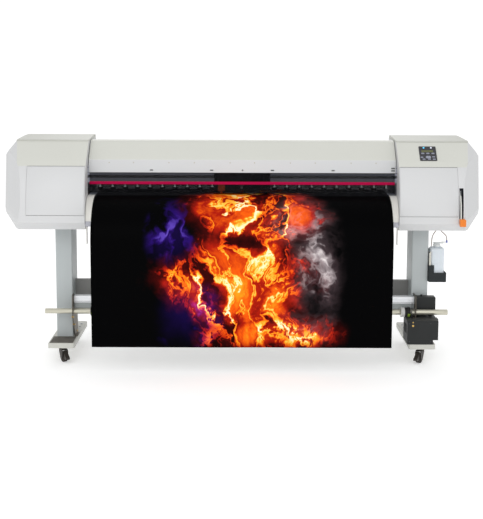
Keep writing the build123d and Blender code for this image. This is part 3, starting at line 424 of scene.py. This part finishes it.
second("cap_station", "rubber", lambda c, q: c.z > 0.9305)
second("electronics_box", "black", lambda c, q: c.y > 0.2465)
second("supply_roll", "steel", lambda c, q: Vector((c.y - .3613, c.z - .6)).length < .0375)
second("supply_roll", "rubber", lambda c, q: abs(c.x) > .8322 and Vector((c.y - .3613, c.z - .6)).length > .0135)
second("takeup_rail", "leg", lambda c, q: c.y > -0.1595 and c.z < 0.3305)
second("caster_wheel_fl", "zinc", lambda c, q: False)

# ------------------------------------------------------- waste ink tubes
LEFT_ROUTE = [(1.126, -0.095, 0.775), (1.126, -0.095, 0.752), (1.104, -0.095, 0.724), (1.098, -0.095, 0.690), (1.098, -0.095, 0.656)]
RIGHT_ROUTE = [(1.145, -0.095, 0.775), (1.145, -0.095, 0.752), (1.170, -0.095, 0.730), (1.186, -0.095, 0.714), (1.186, -0.095, 0.692)]


def tube(name, route):
    cu = bpy.data.curves.new(name, "CURVE")
    cu.dimensions = "3D"
    sp = cu.splines.new("NURBS")
    sp.points.add(len(route) - 1)
    for p, q in zip(sp.points, route):
        p.co = (*q, 1)
    sp.order_u = 3
    sp.use_endpoint_u = True
    sp.resolution_u = 12
    cu.bevel_depth = 0.003
    cu.bevel_resolution = 6
    cu.use_fill_caps = True
    o = new_obj(name, cu, "frame", [M["tube"]])
    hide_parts(name.replace("_hose", ""))
    return o


tube("waste_tube_left_hose", LEFT_ROUTE)
tube("waste_tube_right_hose", RIGHT_ROUTE)

# ------------------------------------------------------------ stage, light
bm = bmesh.new()
bmesh.ops.create_grid(bm, x_segments=2, y_segments=2, size=400)
me = bpy.data.meshes.new("floor")
bm.to_mesh(me)
bm.free()
floor = bpy.data.objects.new("floor", me)
scene.collection.objects.link(floor)
floor_mat = mat("floor_pale", (0.86, 0.86, 0.86), rough=0.9, spec=0.0, vary=0.004, vary_scale=0.6, grain=60, bump=0.0, emit=((1, 1, 1), 0.30))
me.materials.append(floor_mat)

world = bpy.data.worlds.new("studio")
scene.world = world
world.use_nodes = True
wn = world.node_tree
bg = wn.nodes["Background"]
tc = wn.nodes.new("ShaderNodeTexCoord")
sep = wn.nodes.new("ShaderNodeSeparateXYZ")
mr = wn.nodes.new("ShaderNodeMapRange")
mr.inputs["From Min"].default_value = 0.10
mr.inputs["From Max"].default_value = 1.0
mr.inputs["To Min"].default_value = 1.03
mr.inputs["To Max"].default_value = 0.90
wn.links.new(tc.outputs["Generated"], sep.inputs["Vector"])
wn.links.new(sep.outputs["Z"], mr.inputs["Value"])
side = wn.nodes.new("ShaderNodeMath")
side.operation = "ABSOLUTE"
wn.links.new(sep.outputs["X"], side.inputs[0])
dim = wn.nodes.new("ShaderNodeMapRange")
dim.inputs["From Min"].default_value = 0.38
dim.inputs["From Max"].default_value = 1.0
dim.inputs["To Min"].default_value = 1.0
dim.inputs["To Max"].default_value = 0.70
wn.links.new(side.outputs[0], dim.inputs["Value"])
both = wn.nodes.new("ShaderNodeMath")
both.operation = "MULTIPLY"
wn.links.new(mr.outputs["Result"], both.inputs[0])
wn.links.new(dim.outputs["Result"], both.inputs[1])
wn.links.new(both.outputs[0], bg.inputs["Strength"])
bg.inputs["Color"].default_value = (1.0, 1.0, 1.0, 1)


def area(name, at, look, size, power, colour=(1, 1, 1)):
    li = bpy.data.lights.new(name, "AREA")
    li.shape = "RECTANGLE"
    li.size, li.size_y = size
    li.energy = power
    li.color = colour
    o = bpy.data.objects.new(name, li)
    scene.collection.objects.link(o)
    o.location = at
    o.rotation_euler = (Vector(look) - Vector(at)).to_track_quat("-Z", "Y").to_euler()
    return o


area("key", (-1.5, -5.0, 3.2), (0.2, 0, 0.7), (3.0, 2.0), 45)
area("fill", (1.6, -4.8, 2.2), (0.2, 0, 0.8), (2.4, 2.4), 16)
area("back", (0.0, 4.2, 3.4), (0, 0, 0.8), (4.0, 1.6), 30)

# ------------------------------------------------------------- printed web
X_WEB = 0.832
ARC_R, ARC_F = 0.13105, 0.24925


def web_path(n_line=26):
    """The web's middle line in the YZ plane, from the supply roll to its free edge, with unit normals."""
    pts = []
    for k in range(8):
        pts.append((0.28105, 0.600 + 0.232 * k / 8))
    for k in range(17):
        a = math.pi / 2 * k / 16
        pts.append((0.150 + ARC_R * math.cos(a), 0.832 + ARC_R * math.sin(a)))
    for k in range(1, 12):
        pts.append((0.150 - 0.340 * k / 12, 0.96305))
    for k in range(25):
        a = math.pi / 2 * (1 + k / 24)
        pts.append((-0.190 + ARC_F * math.cos(a), 0.7138 + ARC_F * math.sin(a)))
    for k in range(1, n_line + 1):
        pts.append((-0.43925, 0.7138 - (0.7138 - 0.141) * k / n_line))
    return pts


def web_material():
    """Printed side of the vinyl: a made-up picture of flames and smoke on black, all from noise."""
    m = bpy.data.materials.new("web_print")
    m.use_nodes = True
    nt = m.node_tree
    L = nt.links.new
    b = nt.nodes["Principled BSDF"]
    b.inputs["Specular IOR Level"].default_value = 0.012

    def node(kind, **kw):
        n = nt.nodes.new(kind)
        for k, v in kw.items():
            setattr(n, k, v)
        return n

    def sock(n, v, i=0):
        if isinstance(v, (int, float)):
            n.inputs[i].default_value = v
        else:
            L(v, n.inputs[i])

    def math_(op, a, b_=0.0, c=0.0, clamp=False):
        n = node("ShaderNodeMath", operation=op, use_clamp=clamp)
        sock(n, a, 0)
        sock(n, b_, 1)
        if len(n.inputs) > 2:
            sock(n, c, 2)
        return n.outputs[0]

    def mapr(v, a, b_, c=0.0, d=1.0, smooth=True):
        n = node("ShaderNodeMapRange")
        n.interpolation_type = "SMOOTHSTEP" if smooth else "LINEAR"
        L(v, n.inputs["Value"])
        for k, q in (("From Min", a), ("From Max", b_), ("To Min", c), ("To Max", d)):
            n.inputs[k].default_value = q
        return n.outputs["Result"]

    def noise(vec, scale, detail=6, rough=0.55, dist=0.0, out="Fac"):
        n = node("ShaderNodeTexNoise")
        L(vec, n.inputs["Vector"])
        n.inputs["Scale"].default_value = scale
        n.inputs["Detail"].default_value = detail
        n.inputs["Roughness"].default_value = rough
        n.inputs["Distortion"].default_value = dist
        return n.outputs[out]

    def ramp(v, stops):
        n = node("ShaderNodeValToRGB")
        cr = n.color_ramp
        while len(cr.elements) < len(stops):
            cr.elements.new(0.5)
        for e, (p, c) in zip(cr.elements, stops):
            e.position = p
            e.color = (*c, 1)
        L(v, n.inputs["Fac"])
        return n.outputs["Color"]

    def vec(op, a, b_=None, scale=None):
        n = node("ShaderNodeVectorMath", operation=op)
        L(a, n.inputs[0])
        if b_ is not None:
            if isinstance(b_, tuple):
                n.inputs[1].default_value = b_
            else:
                L(b_, n.inputs[1])
        if scale is not None:
            if isinstance(scale, (int, float)):
                n.inputs["Scale"].default_value = scale
            else:
                L(scale, n.inputs["Scale"])
        return n.outputs[0]

    def mix(f, a, b_, mode="MIX"):
        n = node("ShaderNodeMix", data_type="RGBA", blend_type=mode)
        if isinstance(f, (int, float)):
            n.inputs["Factor"].default_value = f
        else:
            L(f, n.inputs["Factor"])
        for k, q in (("A", a), ("B", b_)):
            if isinstance(q, tuple):
                n.inputs[k].default_value = (*q, 1)
            else:
                L(q, n.inputs[k])
        return n.outputs["Result"]

    tcn = node("ShaderNodeTexCoord")
    P = tcn.outputs["Object"]
    sep_ = node("ShaderNodeSeparateXYZ")
    L(P, sep_.inputs[0])
    x, y, z = sep_.outputs

    warp = vec("SUBTRACT", noise(P, 2.6, 4, 0.55, out="Color"), (0.5, 0.5, 0.5))
    fine_warp = vec("SUBTRACT", noise(P, 9.0, 3, 0.5, out="Color"), (0.5, 0.5, 0.5))
    Q = vec("ADD", vec("ADD", P, vec("SCALE", warp, scale=0.42)), vec("SCALE", fine_warp, scale=0.05))
    # flames rise, so they are stretched upwards
    mp = node("ShaderNodeMapping")
    mp.inputs["Scale"].default_value = (1.0, 1.0, 0.62)
    mp.inputs["Rotation"].default_value = (0, math.radians(18), 0)
    L(Q, mp.inputs["Vector"])
    Qf = mp.outputs["Vector"]

    def blob(cx, cz, rx, rz, soft=0.5, wob=0.5):
        """1 inside an uneven ellipse on the sheet, 0 outside."""
        sx = math_("DIVIDE", math_("SUBTRACT", x, cx), rx)
        sz = math_("DIVIDE", math_("SUBTRACT", z, cz), rz)
        d = math_("SQRT", math_("ADD", math_("MULTIPLY", sx, sx), math_("MULTIPLY", sz, sz)))
        d = math_("ADD", d, math_("MULTIPLY", math_("SUBTRACT", noise(P, 4.5, 4), 0.5), wob * 2))
        return mapr(d, 1.0, 1.0 - soft)

    def ridge(v, width, power=1.0):
        r = math_("ABSOLUTE", math_("SUBTRACT", v, 0.5))
        r = mapr(r, width, 0.0)
        return math_("POWER", r, power)

    # flame body and filaments
    f1 = noise(Qf, 3.4, 7, 0.58)
    f2 = noise(Qf, 6.8, 6, 0.55)
    fil1 = ridge(f1, 0.045, 1.5)
    fil2 = ridge(f2, 0.040, 1.6)
    body = mapr(f1, 0.36, 0.66)
    body2 = mapr(noise(Qf, 5.2, 6, 0.6), 0.40, 0.66)
    heat = math_("ADD", math_("MULTIPLY", body, 0.42), math_("ADD", math_("MULTIPLY", body2, 0.28), 0.04))
    heat = math_("ADD", heat, math_("MULTIPLY", fil1, 0.54))
    heat = math_("ADD", heat, math_("MULTIPLY", fil2, 0.40))
    fire_area = math_("MAXIMUM", math_("MAXIMUM", blob(-0.02, 0.50, 0.50, 0.34, 0.55), blob(0.06, 0.88, 0.46, 0.22, 0.7)),
                      blob(0.16, 0.22, 0.52, 0.15, 0.8))
    heat = math_("MULTIPLY", heat, math_("ADD", math_("MULTIPLY", fire_area, 0.95), 0.0), clamp=True)
    fire = ramp(heat, [(0.0, (0.0, 0.0, 0.0)), (0.16, (0.05, 0.0015, 0.001)), (0.34, (0.42, 0.012, 0.003)),
                       (0.50, (0.92, 0.11, 0.004)), (0.66, (1.0, 0.34, 0.012)), (0.82, (1.0, 0.66, 0.09)),
                       (1.0, (1.0, 0.93, 0.62))])

    # violet smoke at the left
    s1 = noise(Q, 3.8, 6, 0.5)
    vio = math_("ADD", math_("MULTIPLY", ridge(s1, 0.085, 1.3), 0.72), math_("MULTIPLY", mapr(s1, 0.40, 0.75), 0.16))
    vio_mask = math_("MAXIMUM", blob(-0.39, 0.77, 0.18, 0.19, 0.8, 0.35), math_("MULTIPLY", blob(-0.30, 0.33, 0.22, 0.22, 0.9, 0.4), 0.75))
    vio = math_("MULTIPLY", vio, vio_mask, clamp=True)
    violet = ramp(vio, [(0.0, (0, 0, 0)), (0.35, (0.020, 0.004, 0.13)), (0.7, (0.10, 0.05, 0.42)), (1.0, (0.45, 0.38, 0.78))])

    # pale smoke at the right, tinged by the flames at its left
    s2 = noise(Q, 5.2, 8, 0.52, 0.3)
    s3 = noise(Q, 11.0, 5, 0.5)
    smoke = math_("ADD", math_("MULTIPLY", mapr(s2, 0.32, 0.74), 0.75), math_("MULTIPLY", ridge(s3, 0.10, 1.0), 0.22))
    smoke_mask = math_("MAXIMUM", blob(0.40, 0.60, 0.20, 0.36, 0.8, 0.4), math_("MULTIPLY", blob(0.32, 0.84, 0.24, 0.17, 0.9, 0.5), 0.95))
    smoke_mask = math_("MAXIMUM", smoke_mask, math_("MULTIPLY", blob(0.36, 0.26, 0.24, 0.14, 0.9, 0.5), 0.8))
    smoke = math_("MULTIPLY", smoke, smoke_mask, clamp=True)
    grey = ramp(smoke, [(0.0, (0, 0, 0)), (0.3, (0.045, 0.030, 0.034)), (0.6, (0.33, 0.28, 0.29)), (1.0, (0.92, 0.86, 0.85))])
    warm = mix(mapr(x, 0.42, 0.12), grey, mix(1.0, grey, (1.0, 0.62, 0.50), "MULTIPLY"))

    art = mix(1.0, fire, violet, "ADD")
    keep_ = math_("SUBTRACT", 1.0, math_("MULTIPLY", heat, 0.85), clamp=True)
    art = mix(keep_, art, mix(1.0, art, warm, "ADD"))
    # black margins, and unprinted vinyl upstream of the heads
    edge = math_("MULTIPLY", mapr(x, -0.60, -0.50), mapr(x, 0.62, 0.52))
    edge = math_("MULTIPLY", edge, mapr(z, 0.145, 0.20, 0.75, 1.0))
    art = mix(edge, (0.0, 0.0, 0.0), art)
    floor_black = mix(1.0, art, (0.0012, 0.0012, 0.0014), "ADD")
    printed = math_("LESS_THAN", y, 0.10)
    out = mix(printed, (0.84, 0.84, 0.82), floor_black)
    n = node("ShaderNodeMix", data_type="RGBA", blend_type="MIX", clamp_result=True)
    n.inputs["Factor"].default_value = 0.0
    L(out, n.inputs["A"])
    L(n.outputs["Result"], b.inputs["Base Color"])
    g = noise(P, 700, 3, 0.5)
    L(mapr(g, 0.2, 0.8, 0.40, 0.52, False), b.inputs["Roughness"])
    bp = node("ShaderNodeBump")
    bp.inputs["Strength"].default_value = 0.15
    bp.inputs["Distance"].default_value = 0.0002
    L(g, bp.inputs["Height"])
    L(bp.outputs["Normal"], b.inputs["Normal"])
    return m


def make_web():
    path = web_path()
    nx = 64
    bm = bmesh.new()
    rows = []
    n_hang = len(path)
    for k, (py, pz) in enumerate(path):
        row = []
        for i in range(nx + 1):
            x = -X_WEB + 2 * X_WEB * i / nx
            hang = max(0.0, min(1.0, (0.7138 - pz) / 0.57)) if py < -0.30 else 0.0
            # free vinyl keeps a trace of the roll's curl and of uneven tension
            dy = hang * hang * 0.0035 * math.sin(5.1 * x + 0.7) + hang * 0.0016 * math.sin(11.3 * x + 3 * pz)
            row.append(bm.verts.new((x, py + max(dy, -0.0005), pz)))
        rows.append(row)
    for p, q in zip(rows, rows[1:]):
        for i in range(nx):
            bm.faces.new((p[i], p[i + 1], q[i + 1], q[i]))
    bm.normal_update()
    me = bpy.data.meshes.new("vinyl_web")
    bm.to_mesh(me)
    bm.free()
    # outward side is up on the platen
    flat = [p for p in me.polygons if abs(p.center.y) < 0.1]
    if flat[0].normal.z < 0:
        me.flip_normals()
    for p in me.polygons:
        p.use_smooth = True
    o = new_obj("vinyl_web", me, None, [web_material(), M["paper_back"]])
    so = o.modifiers.new("thickness", "SOLIDIFY")
    so.thickness = 0.0004
    so.offset = 0
    so.material_offset = 1
    so.material_offset_rim = 1
    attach(o, "frame")
    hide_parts("media_web")
    return o


make_web()

# ------------------------------------------------------------- hood details
WY = lambda z: -0.161 - 0.015 * (1.106 - z) / 0.133      # outer face of the window


def band(name, z0, z1, proud, x0, x1, material):
    """A thin strip lying on the sloping face of the window."""
    bm = bmesh.new()
    t = proud
    prof = [(WY(z0), z0), (WY(z0) - t * 0.7, z0 + t * 0.3), (WY(z0) - t, z0 + t), (WY(z1) - t, z1 - t),
            (WY(z1) - t * 0.7, z1 - t * 0.3), (WY(z1), z1)]
    n = 12
    cols = []
    for i in range(n + 1):
        x = x0 + (x1 - x0) * i / n
        cols.append([bm.verts.new((x, a, c)) for a, c in prof])
    for p, q in zip(cols, cols[1:]):
        for j in range(len(prof)):
            k = (j + 1) % len(prof)
            bm.faces.new((p[j], p[k], q[k], q[j]))
    bm.faces.new(cols[0])
    bm.faces.new(reversed(cols[-1]))
    return from_bm(name, bm, "hood", M[material])


band("window_stripe", 1.0210, 1.0370, 0.0006, -0.868, 0.868, "stripe")

HX = (6400 - 165) / 1102.92 / 1000      # metres across per photo step at the hood's face
HOOD_FRONT = lambda z: -0.160 - 0.006 * (1.161 - z) / 0.073
bm = bmesh.new()
for px in (108, 132.5, 168, 193.5, 229.5, 254, 290, 315, 351, 376):
    x, z = (px - 241.7) * HX, 1.1440
    bm_lathe(bm, [(0.0030, 0), (0.0029, 0.0005), (0.0020, 0.0009), (0.0006, 0.0011), (0, 0.0011)],
             (x, HOOD_FRONT(z), z), (0, -1, 0.08), seg=20)
from_bm("hood_rivets", bm, "hood", M["copper_label"])

bm = bmesh.new()
for px in (150.5, 211, 272, 333):
    bm_box(bm, ((px - 241.7) * HX - 0.009, -0.1672, 1.0985), ((px - 241.7) * HX + 0.009, -0.1645, 1.1055), 0.0010, 3)
for z in (1.1155, 1.1015):
    bm_box(bm, (0.846, -0.1672, z - 0.0035), (0.866, -0.1640, z + 0.0035), 0.0010, 3)
for px in (242,):
    bm_lathe(bm, [(0.0045, 0), (0.0044, 0.0014), (0.0036, 0.0022), (0, 0.0024)], ((px - 241.7) * HX, -0.1652, 1.102), (0, -1, 0.08), seg=24)
from_bm("hood_stop_pads", bm, "hood", M["pad"])

# finger recess lip and folded lower edge of the hood
bm = bmesh.new()
prof = [(-0.1660, 1.0880), (-0.1668, 1.0884), (-0.1670, 1.0900), (-0.1662, 1.0912), (-0.1658, 1.0906)]
cols = []
for i in range(13):
    x = -0.871 + 1.742 * i / 12
    cols.append([bm.verts.new((x, a, c)) for a, c in prof])
for p, q in zip(cols, cols[1:]):
    for j in range(len(prof)):
        k = (j + 1) % len(prof)
        bm.faces.new((p[j], p[k], q[k], q[j]))
bm.faces.new(cols[0])
bm.faces.new(reversed(cols[-1]))
from_bm("hood_lower_hem", bm, "hood", M["cover"])

# ------------------------------------------------------------ panel details
PO = Vector((1.047, -0.1903, 1.2018))
PL = math.hypot(102, 109)
PN = Vector((0, -102 / PL, 109 / PL))
PU = Vector((1, 0, 0))
PV = PN.cross(PU)
PM = Matrix(((PU.x, PV.x, PN.x, PO.x), (PU.y, PV.y, PN.y, PO.y), (PU.z, PV.z, PN.z, PO.z), (0, 0, 0, 1)))


def panel_bits(name, rects, h0, h1, material, body="frame", bevel=0.0006):
    bm = bmesh.new()
    for u0, u1, v0, v1 in rects:
        bm_box(bm, (u0 / 1000, v0 / 1000, h0 / 1000), (u1 / 1000, v1 / 1000, h1 / 1000), bevel, 3, PM)
    return from_bm(name, bm, body, M[material])


panel_bits("display_glass", [(-34.6, 30.6, 10.9, 25.1)], 1.52, 2.35, "lcd")
segs = [(-31 + 3.7 * k, -31 + 3.7 * k + 2.5, v, v + 3.0) for k in range(16) for v in (13.3, 19.4) if (k * 7 + int(v)) % 5]
panel_bits("display_segments", segs, 2.35, 2.42, "lcd_dark", bevel=0.00003)
panel_bits("flat_keys", [(-44, -28.5, -32.5, -24), (22, 38, -29.5, -21), (-33.5, -18, -47, -38.5), (-3.2, 12.6, -47, -38.5), (23.6, 39.4, -47, -38.5)],
           2.45, 2.95, "key", bevel=0.0002)
arrows = bmesh.new()
for ang in (0, 90, 180, 270):
    r = 9.2 if ang in (0, 180) else 5.4
    a = math.radians(ang)
    c = Vector((r * math.cos(a), r * math.sin(a) - 28, 3.8)) / 1000
    tri = [(0.0017, 0), (-0.0009, 0.0017), (-0.0009, -0.0017)]
    lo_ = [arrows.verts.new(PM @ (c + Vector((math.cos(a) * p - math.sin(a) * q, math.sin(a) * p + math.cos(a) * q, -0.00005)))) for p, q in tri]
    hi_ = [arrows.verts.new(PM @ (c + Vector((math.cos(a) * p - math.sin(a) * q, math.sin(a) * p + math.cos(a) * q, 0.00022)))) for p, q in tri]
    arrows.faces.new(hi_)
    arrows.faces.new(reversed(lo_))
    for i in range(3):
        j = (i + 1) % 3
        arrows.faces.new((lo_[i], lo_[j], hi_[j], hi_[i]))
from_bm("nav_arrows", arrows, "nav_pad", M["panel"])
lamps = bmesh.new()
for u in (-28.8, 0.0, 28.8):
    bm_lathe(lamps, [(0.0010, 0), (0.0010, 0.0003), (0.0007, 0.0006), (0, 0.0007)], PM @ Vector((u / 1000, 0.0078, 0.00245)), PN, seg=16)
from_bm("key_lamps", lamps, "frame", M["green"])

# ------------------------------------------------------------- stand details
# dark ribbed pad on top of the left foot in front of the leg; its darkness also stands in for the leg's shadow there,
# painted on
bm = bmesh.new()
for s in (-1,):
    cx = s * 1.031
    for y0, y1 in ((-0.262, -0.118),):
        bm_box(bm, (cx - 0.066, y0, 0.1178), (cx + 0.066, y1, 0.1196), 0.0009, 2)
        n = 9 if y0 < 0 else 11
        for k in range(n):
            y = y0 + 0.012 + (y1 - y0 - 0.024) * k / (n - 1)
            bm_box(bm, (cx - 0.060, y - 0.0022, 0.1192), (cx + 0.060, y + 0.0022, 0.1203), 0.0008, 2)
from_bm("foot_treads_and_shadow", bm, "frame", M["tread"])

# welded seam and cap plates on the legs
bm = bmesh.new()
for s in (-1, 1):
    for y, zz in ((-0.1124, 0.7735), (0.0804, 0.7735)):
        bm_box(bm, (s * 1.031 - 0.044, y - 0.0006, zz - 0.0045), (s * 1.031 + 0.044, y + 0.0006, zz + 0.002), 0.0005, 2)
from_bm("leg_weld_beads", bm, "frame", M["leg"])

# brass thumb screws on the left shaft bracket, and small screws at the right one
bm = bmesh.new()
for y, z in ((-0.196, 0.254), (-0.150, 0.200), (-0.060, 0.140)):
    bm_lathe(bm, [(0.0062, 0), (0.0062, 0.0045), (0.0050, 0.0058), (0.0022, 0.0060), (0, 0.0060)], (-0.9730, y, z), (-1, 0, 0), seg=24)
    bm_lathe(bm, [(0.0052, 0), (0.0052, 0.0035), (0.0030, 0.0046), (0, 0.0048)], (-0.9700, y, z), (1, 0, 0), seg=24)
for r, z in ((0.0062, 0.226), (0.0042, 0.246)):
    bm_lathe(bm, [(r, 0), (r * 0.95, 0.0022), (r * 0.62, 0.0034), (0, 0.0036)], (0.9755, -0.2700, z), (0, -1, 0), seg=20)
from_bm("bracket_knobs", bm, "frame", M["brass"])

bm = bmesh.new()
bm_box(bm, (0.9730, -0.2716, 0.2280), (0.9780, -0.2699, 0.2560), 0.0007, 2)
bm_box(bm, (0.9735, -0.2150, 0.2545), (0.9775, -0.2110, 0.3480), 0.0008, 2)
from_bm("drive_strap", bm, "frame", M["dark_steel"])

bm = bmesh.new()
for x, z in ((1.010, 0.360), (1.108, 0.360), (1.010, 0.302), (1.108, 0.302)):
    bm_screw(bm, (x, -0.166, z), (0, -1, 0), 0.0030, 0.0016)
for x, z in ((0.956, 0.134), (1.076, 0.134), (0.956, 0.240), (1.076, 0.240)):
    bm_screw(bm, (x, -0.270, z), (0, -1, 0), 0.0034, 0.0018)
for y, z in ((-0.250, 0.150), (-0.130, 0.150), (-0.250, 0.245), (-0.130, 0.245)):
    bm_screw(bm, (0.944, y, z), (-1, 0, 0), 0.0034, 0.0018)
from_bm("drive_case_screws", bm, "frame", M["dark_steel"])

# cooling slots on the drive case's left side and on the control box's right side, drawn as thin dark patches: painted
# shade standing in for the openings
bm = bmesh.new()
for k in range(8):
    y = -0.236 + 0.013 * k
    bm_box(bm, (0.9433, y, 0.170), (0.9442, y + 0.005, 0.226), 0.0003, 2)
for k in range(6):
    y = -0.157 + 0.0062 * k
    bm_box(bm, (1.1177, y, 0.312), (1.1186, y + 0.0028, 0.352), 0.0003, 2)
from_bm("drive_case_slots", bm, "frame", M["rubber"])

# bolts that hold the beam, rail and supply brackets
bm = bmesh.new()
for s in (-1, 1):
    for z in (0.800, 0.828):
        bm_screw(bm, (s * 0.880, 0.099, z), (0, 1, 0), 0.0045, 0.0028)
from_bm("beam_bolts", bm, "frame", M["zinc"])

# rail slot cover: three thin grooves along the rail
bm = bmesh.new()
for k in range(3):
    z = 0.3352 + 0.0022 * k
    bm_box(bm, (-0.968, -0.16035, z), (0.995, -0.15985, z + 0.0010), 0.0002, 1)
from_bm("rail_grooves", bm, "frame", M["alu_grey"])

# ------------------------------------------------------------ cover details
bm = bmesh.new()
for s in (-1, 1):
    for x, z in ((0.900, 0.805), (1.180, 0.805), (0.900, 1.180), (1.180, 1.180), (1.060, 0.805), (1.060, 1.180)):
        bm_screw(bm, (s * x, 0.262, z), (0, 1, 0), 0.0042, 0.0022)
for x in (-0.84, -0.42, 0.0, 0.42, 0.84):
    for z in (1.026, 1.178):
        bm_screw(bm, (x, 0.250, z), (0, 1, 0), 0.0042, 0.0022)
from_bm("cover_screws", bm, "frame", M["zinc"])

# the vent slots are dark strips on the cover: painted shade in place of the openings behind the louvres
bm = bmesh.new()
for s in (-1, 1):
    for grp in (0.955, 1.105):
        for k in range(9):
            z = 0.975 + 0.017 * k
            if s < 0 and z < 0.94:
                continue
            bm_box(bm, (s * grp - 0.052, 0.2612, z), (s * grp + 0.052, 0.2624, z + 0.0055), 0.0006, 2)
from_bm("rear_vent_slots", bm, "frame", M["vent"])
bm = bmesh.new()
for s in (-1, 1):
    for grp in (0.955, 1.105):
        for k in range(9):
            z = 0.975 + 0.017 * k + 0.0055
            bm_box(bm, (s * grp - 0.053, 0.2615, z), (s * grp + 0.053, 0.2658, z + 0.0018), 0.0007, 2)
from_bm("rear_vent_louvres", bm, "frame", M["cover"])

# brush that keeps light and dust out where the web enters, and the seals in the door gaps
bm = bmesh.new()
bm_box(bm, (-0.8700, 0.2462, 0.9700), (0.8700, 0.2478, 1.0200), 0.0004, 2)
for k in range(348):
    x = -0.8690 + 0.005 * k
    bm_box(bm, (x, 0.2464, 0.9260), (x + 0.0046, 0.2476, 0.9705), 0.0003, 1)
from_bm("rear_dust_brush", bm, "frame", M["rubber"])
bm = bmesh.new()
for s in (-1, 1):
    a, b = sorted((s * 0.8798, s * 1.2022))
    bm_box(bm, (a, -0.2592, 1.1309), (b, -0.2572, 1.1321), 0.0002, 1)
    bm_box(bm, (a, -0.3292, 0.8611), (b, -0.3272, 0.8621), 0.0002, 1)
from_bm("door_seals", bm, "frame", M["rubber"])

# pale strip that runs up beside the bottle from its holder
bm = bmesh.new()
PL_ = [(1.0792, 0.5525), (1.0905, 0.5525), (1.0905, 0.6330), (1.0875, 0.6330), (1.0792, 0.6240)]
pf = [bm.verts.new((x, -0.1414, z)) for x, z in PL_]
pb = [bm.verts.new((x, -0.1398, z)) for x, z in PL_]
bm.faces.new(pf)
bm.faces.new(reversed(pb))
for i in range(5):
    j = (i + 1) % 5
    bm.faces.new((pf[i], pb[i], pb[j], pf[j]))
from_bm("holder_side_strip", bm, "frame", M["beige"], smooth=1)

# ---------------------------------------------------- carriage, beam, platen
bm = bmesh.new()
bm_box(bm, (-0.1590, -0.1535, 1.030), (-0.0510, -0.1500, 1.083), 0.0016, 3)
bm_box(bm, (-0.0420, -0.1540, 0.990), (0.1590, -0.1500, 1.083), 0.0016, 3)
bm_box(bm, (-0.0480, -0.1522, 0.990), (-0.0450, -0.1500, 1.083), 0.0006, 2)
for k in range(6):
    bm_box(bm, (0.046 + 0.016 * k, -0.1552, 1.050), (0.052 + 0.016 * k, -0.1535, 1.078), 0.0008, 2)
from_bm("carriage_front_cover", bm, "carriage", M["black"])
bm = bmesh.new()
bm_box(bm, (-0.018, -0.1556, 1.0125), (0.011, -0.1538, 1.0155), 0.0006, 2)
bm_box(bm, (-0.010, -0.1556, 0.9945), (0.003, -0.1538, 1.0090), 0.0018, 3)
from_bm("carriage_latch", bm, "carriage", M["white_plastic"])
bm = bmesh.new()
for x, z in ((-0.134, 0.990), (-0.102, 0.990), (-0.134, 1.014), (-0.102, 1.014)):
    bm_screw(bm, (x, -0.166, z), (0, -1, 0), 0.0022, 0.0012)
from_bm("cutter_screws", bm, "cutter", M["zinc"])

# springs that press the pinch rollers down, one in each unit, and their pale pads; they glow, a painted highlight for
# the light they catch
bm = bmesh.new()
for k in range(23):
    x = -0.833 + 0.073 * k
    bm_box(bm, (x - 0.0025, 0.0262, 0.9880), (x + 0.0025, 0.0302, 1.0050), 0.0008, 2)
    bm_box(bm, (x - 0.0062, 0.0262, 0.9830), (x + 0.0062, 0.0302, 0.9890), 0.0010, 2)
from_bm("pinch_pressure_springs", bm, "pinch_arms", M["tick"])

# platen grooves: rows of small suction holes, drawn as dark discs on the surface: painted shade standing in for the
# holes
bm = bmesh.new()
for k in range(69):
    x = -0.850 + 0.025 * k
    for y in (-0.055, -0.020):
        bm_lathe(bm, [(0.0012, 0), (0.0011, 0.00012), (0, 0.00012)], (x, y, 0.96195), (0, 0, 1), seg=12)
from_bm("platen_suction_holes", bm, "frame", M["rubber"])

# ink cartridges get a coloured band and a finger grip each, in plain ink colours
inks = [lin(20, 20, 22), lin(0, 150, 200), lin(200, 20, 110), lin(240, 210, 30), lin(130, 200, 225), lin(235, 150, 190), lin(150, 150, 150), lin(20, 20, 22)]
for k, c in enumerate(inks):
    x = -1.180 + 0.031 * k
    bm = bmesh.new()
    bm_box(bm, (x + 0.002, -0.2472, 0.905), (x + 0.023, -0.2458, 0.932), 0.0006, 3)
    bm_box(bm, (x + 0.006, -0.2500, 0.860), (x + 0.019, -0.2458, 0.896), 0.0015, 3)
    from_bm("cartridge_band_%d" % (k + 1), bm, "frame",
            mat("ink_band_%d" % (k + 1), c, rough=0.35, vary=0.03, vary_scale=30, grain=1200, bump=0.02))

# bottle: moulded ribs and the ring of the screw cap
bm = bmesh.new()
for k in range(18):
    a = 2 * math.pi * k / 18
    c = Vector((1.129 + 0.0200 * math.cos(a), -0.095 + 0.0200 * math.sin(a), 0.663))
    bm_box(bm, (-0.0006, -0.0011, -0.0055), (0.0008, 0.0011, 0.0055), 0.0004, 2, Matrix.Translation(c) @ Matrix.Rotation(a, 4, "Z"))
from_bm("bottle_cap_ribs", bm, "frame", M["spout"])
bm = bmesh.new()
for z in (0.530, 0.560, 0.590, 0.620):
    bm_box(bm, (1.097, -0.1315, z - 0.0012), (1.161, -0.1302, z + 0.0012), 0.0006, 2)
from_bm("bottle_ribs", bm, "frame", M["bottle"])

# lever handle: moulded grip lines
bm = bmesh.new()
for k in range(4):
    z = 0.822 + 0.006 * k
    bm_box(bm, (1.2130, -0.3686, z), (1.2360, -0.3676, z + 0.0022), 0.0005, 2)
from_bm("handle_grip_lines", bm, "pressure_lever", M["orange"])
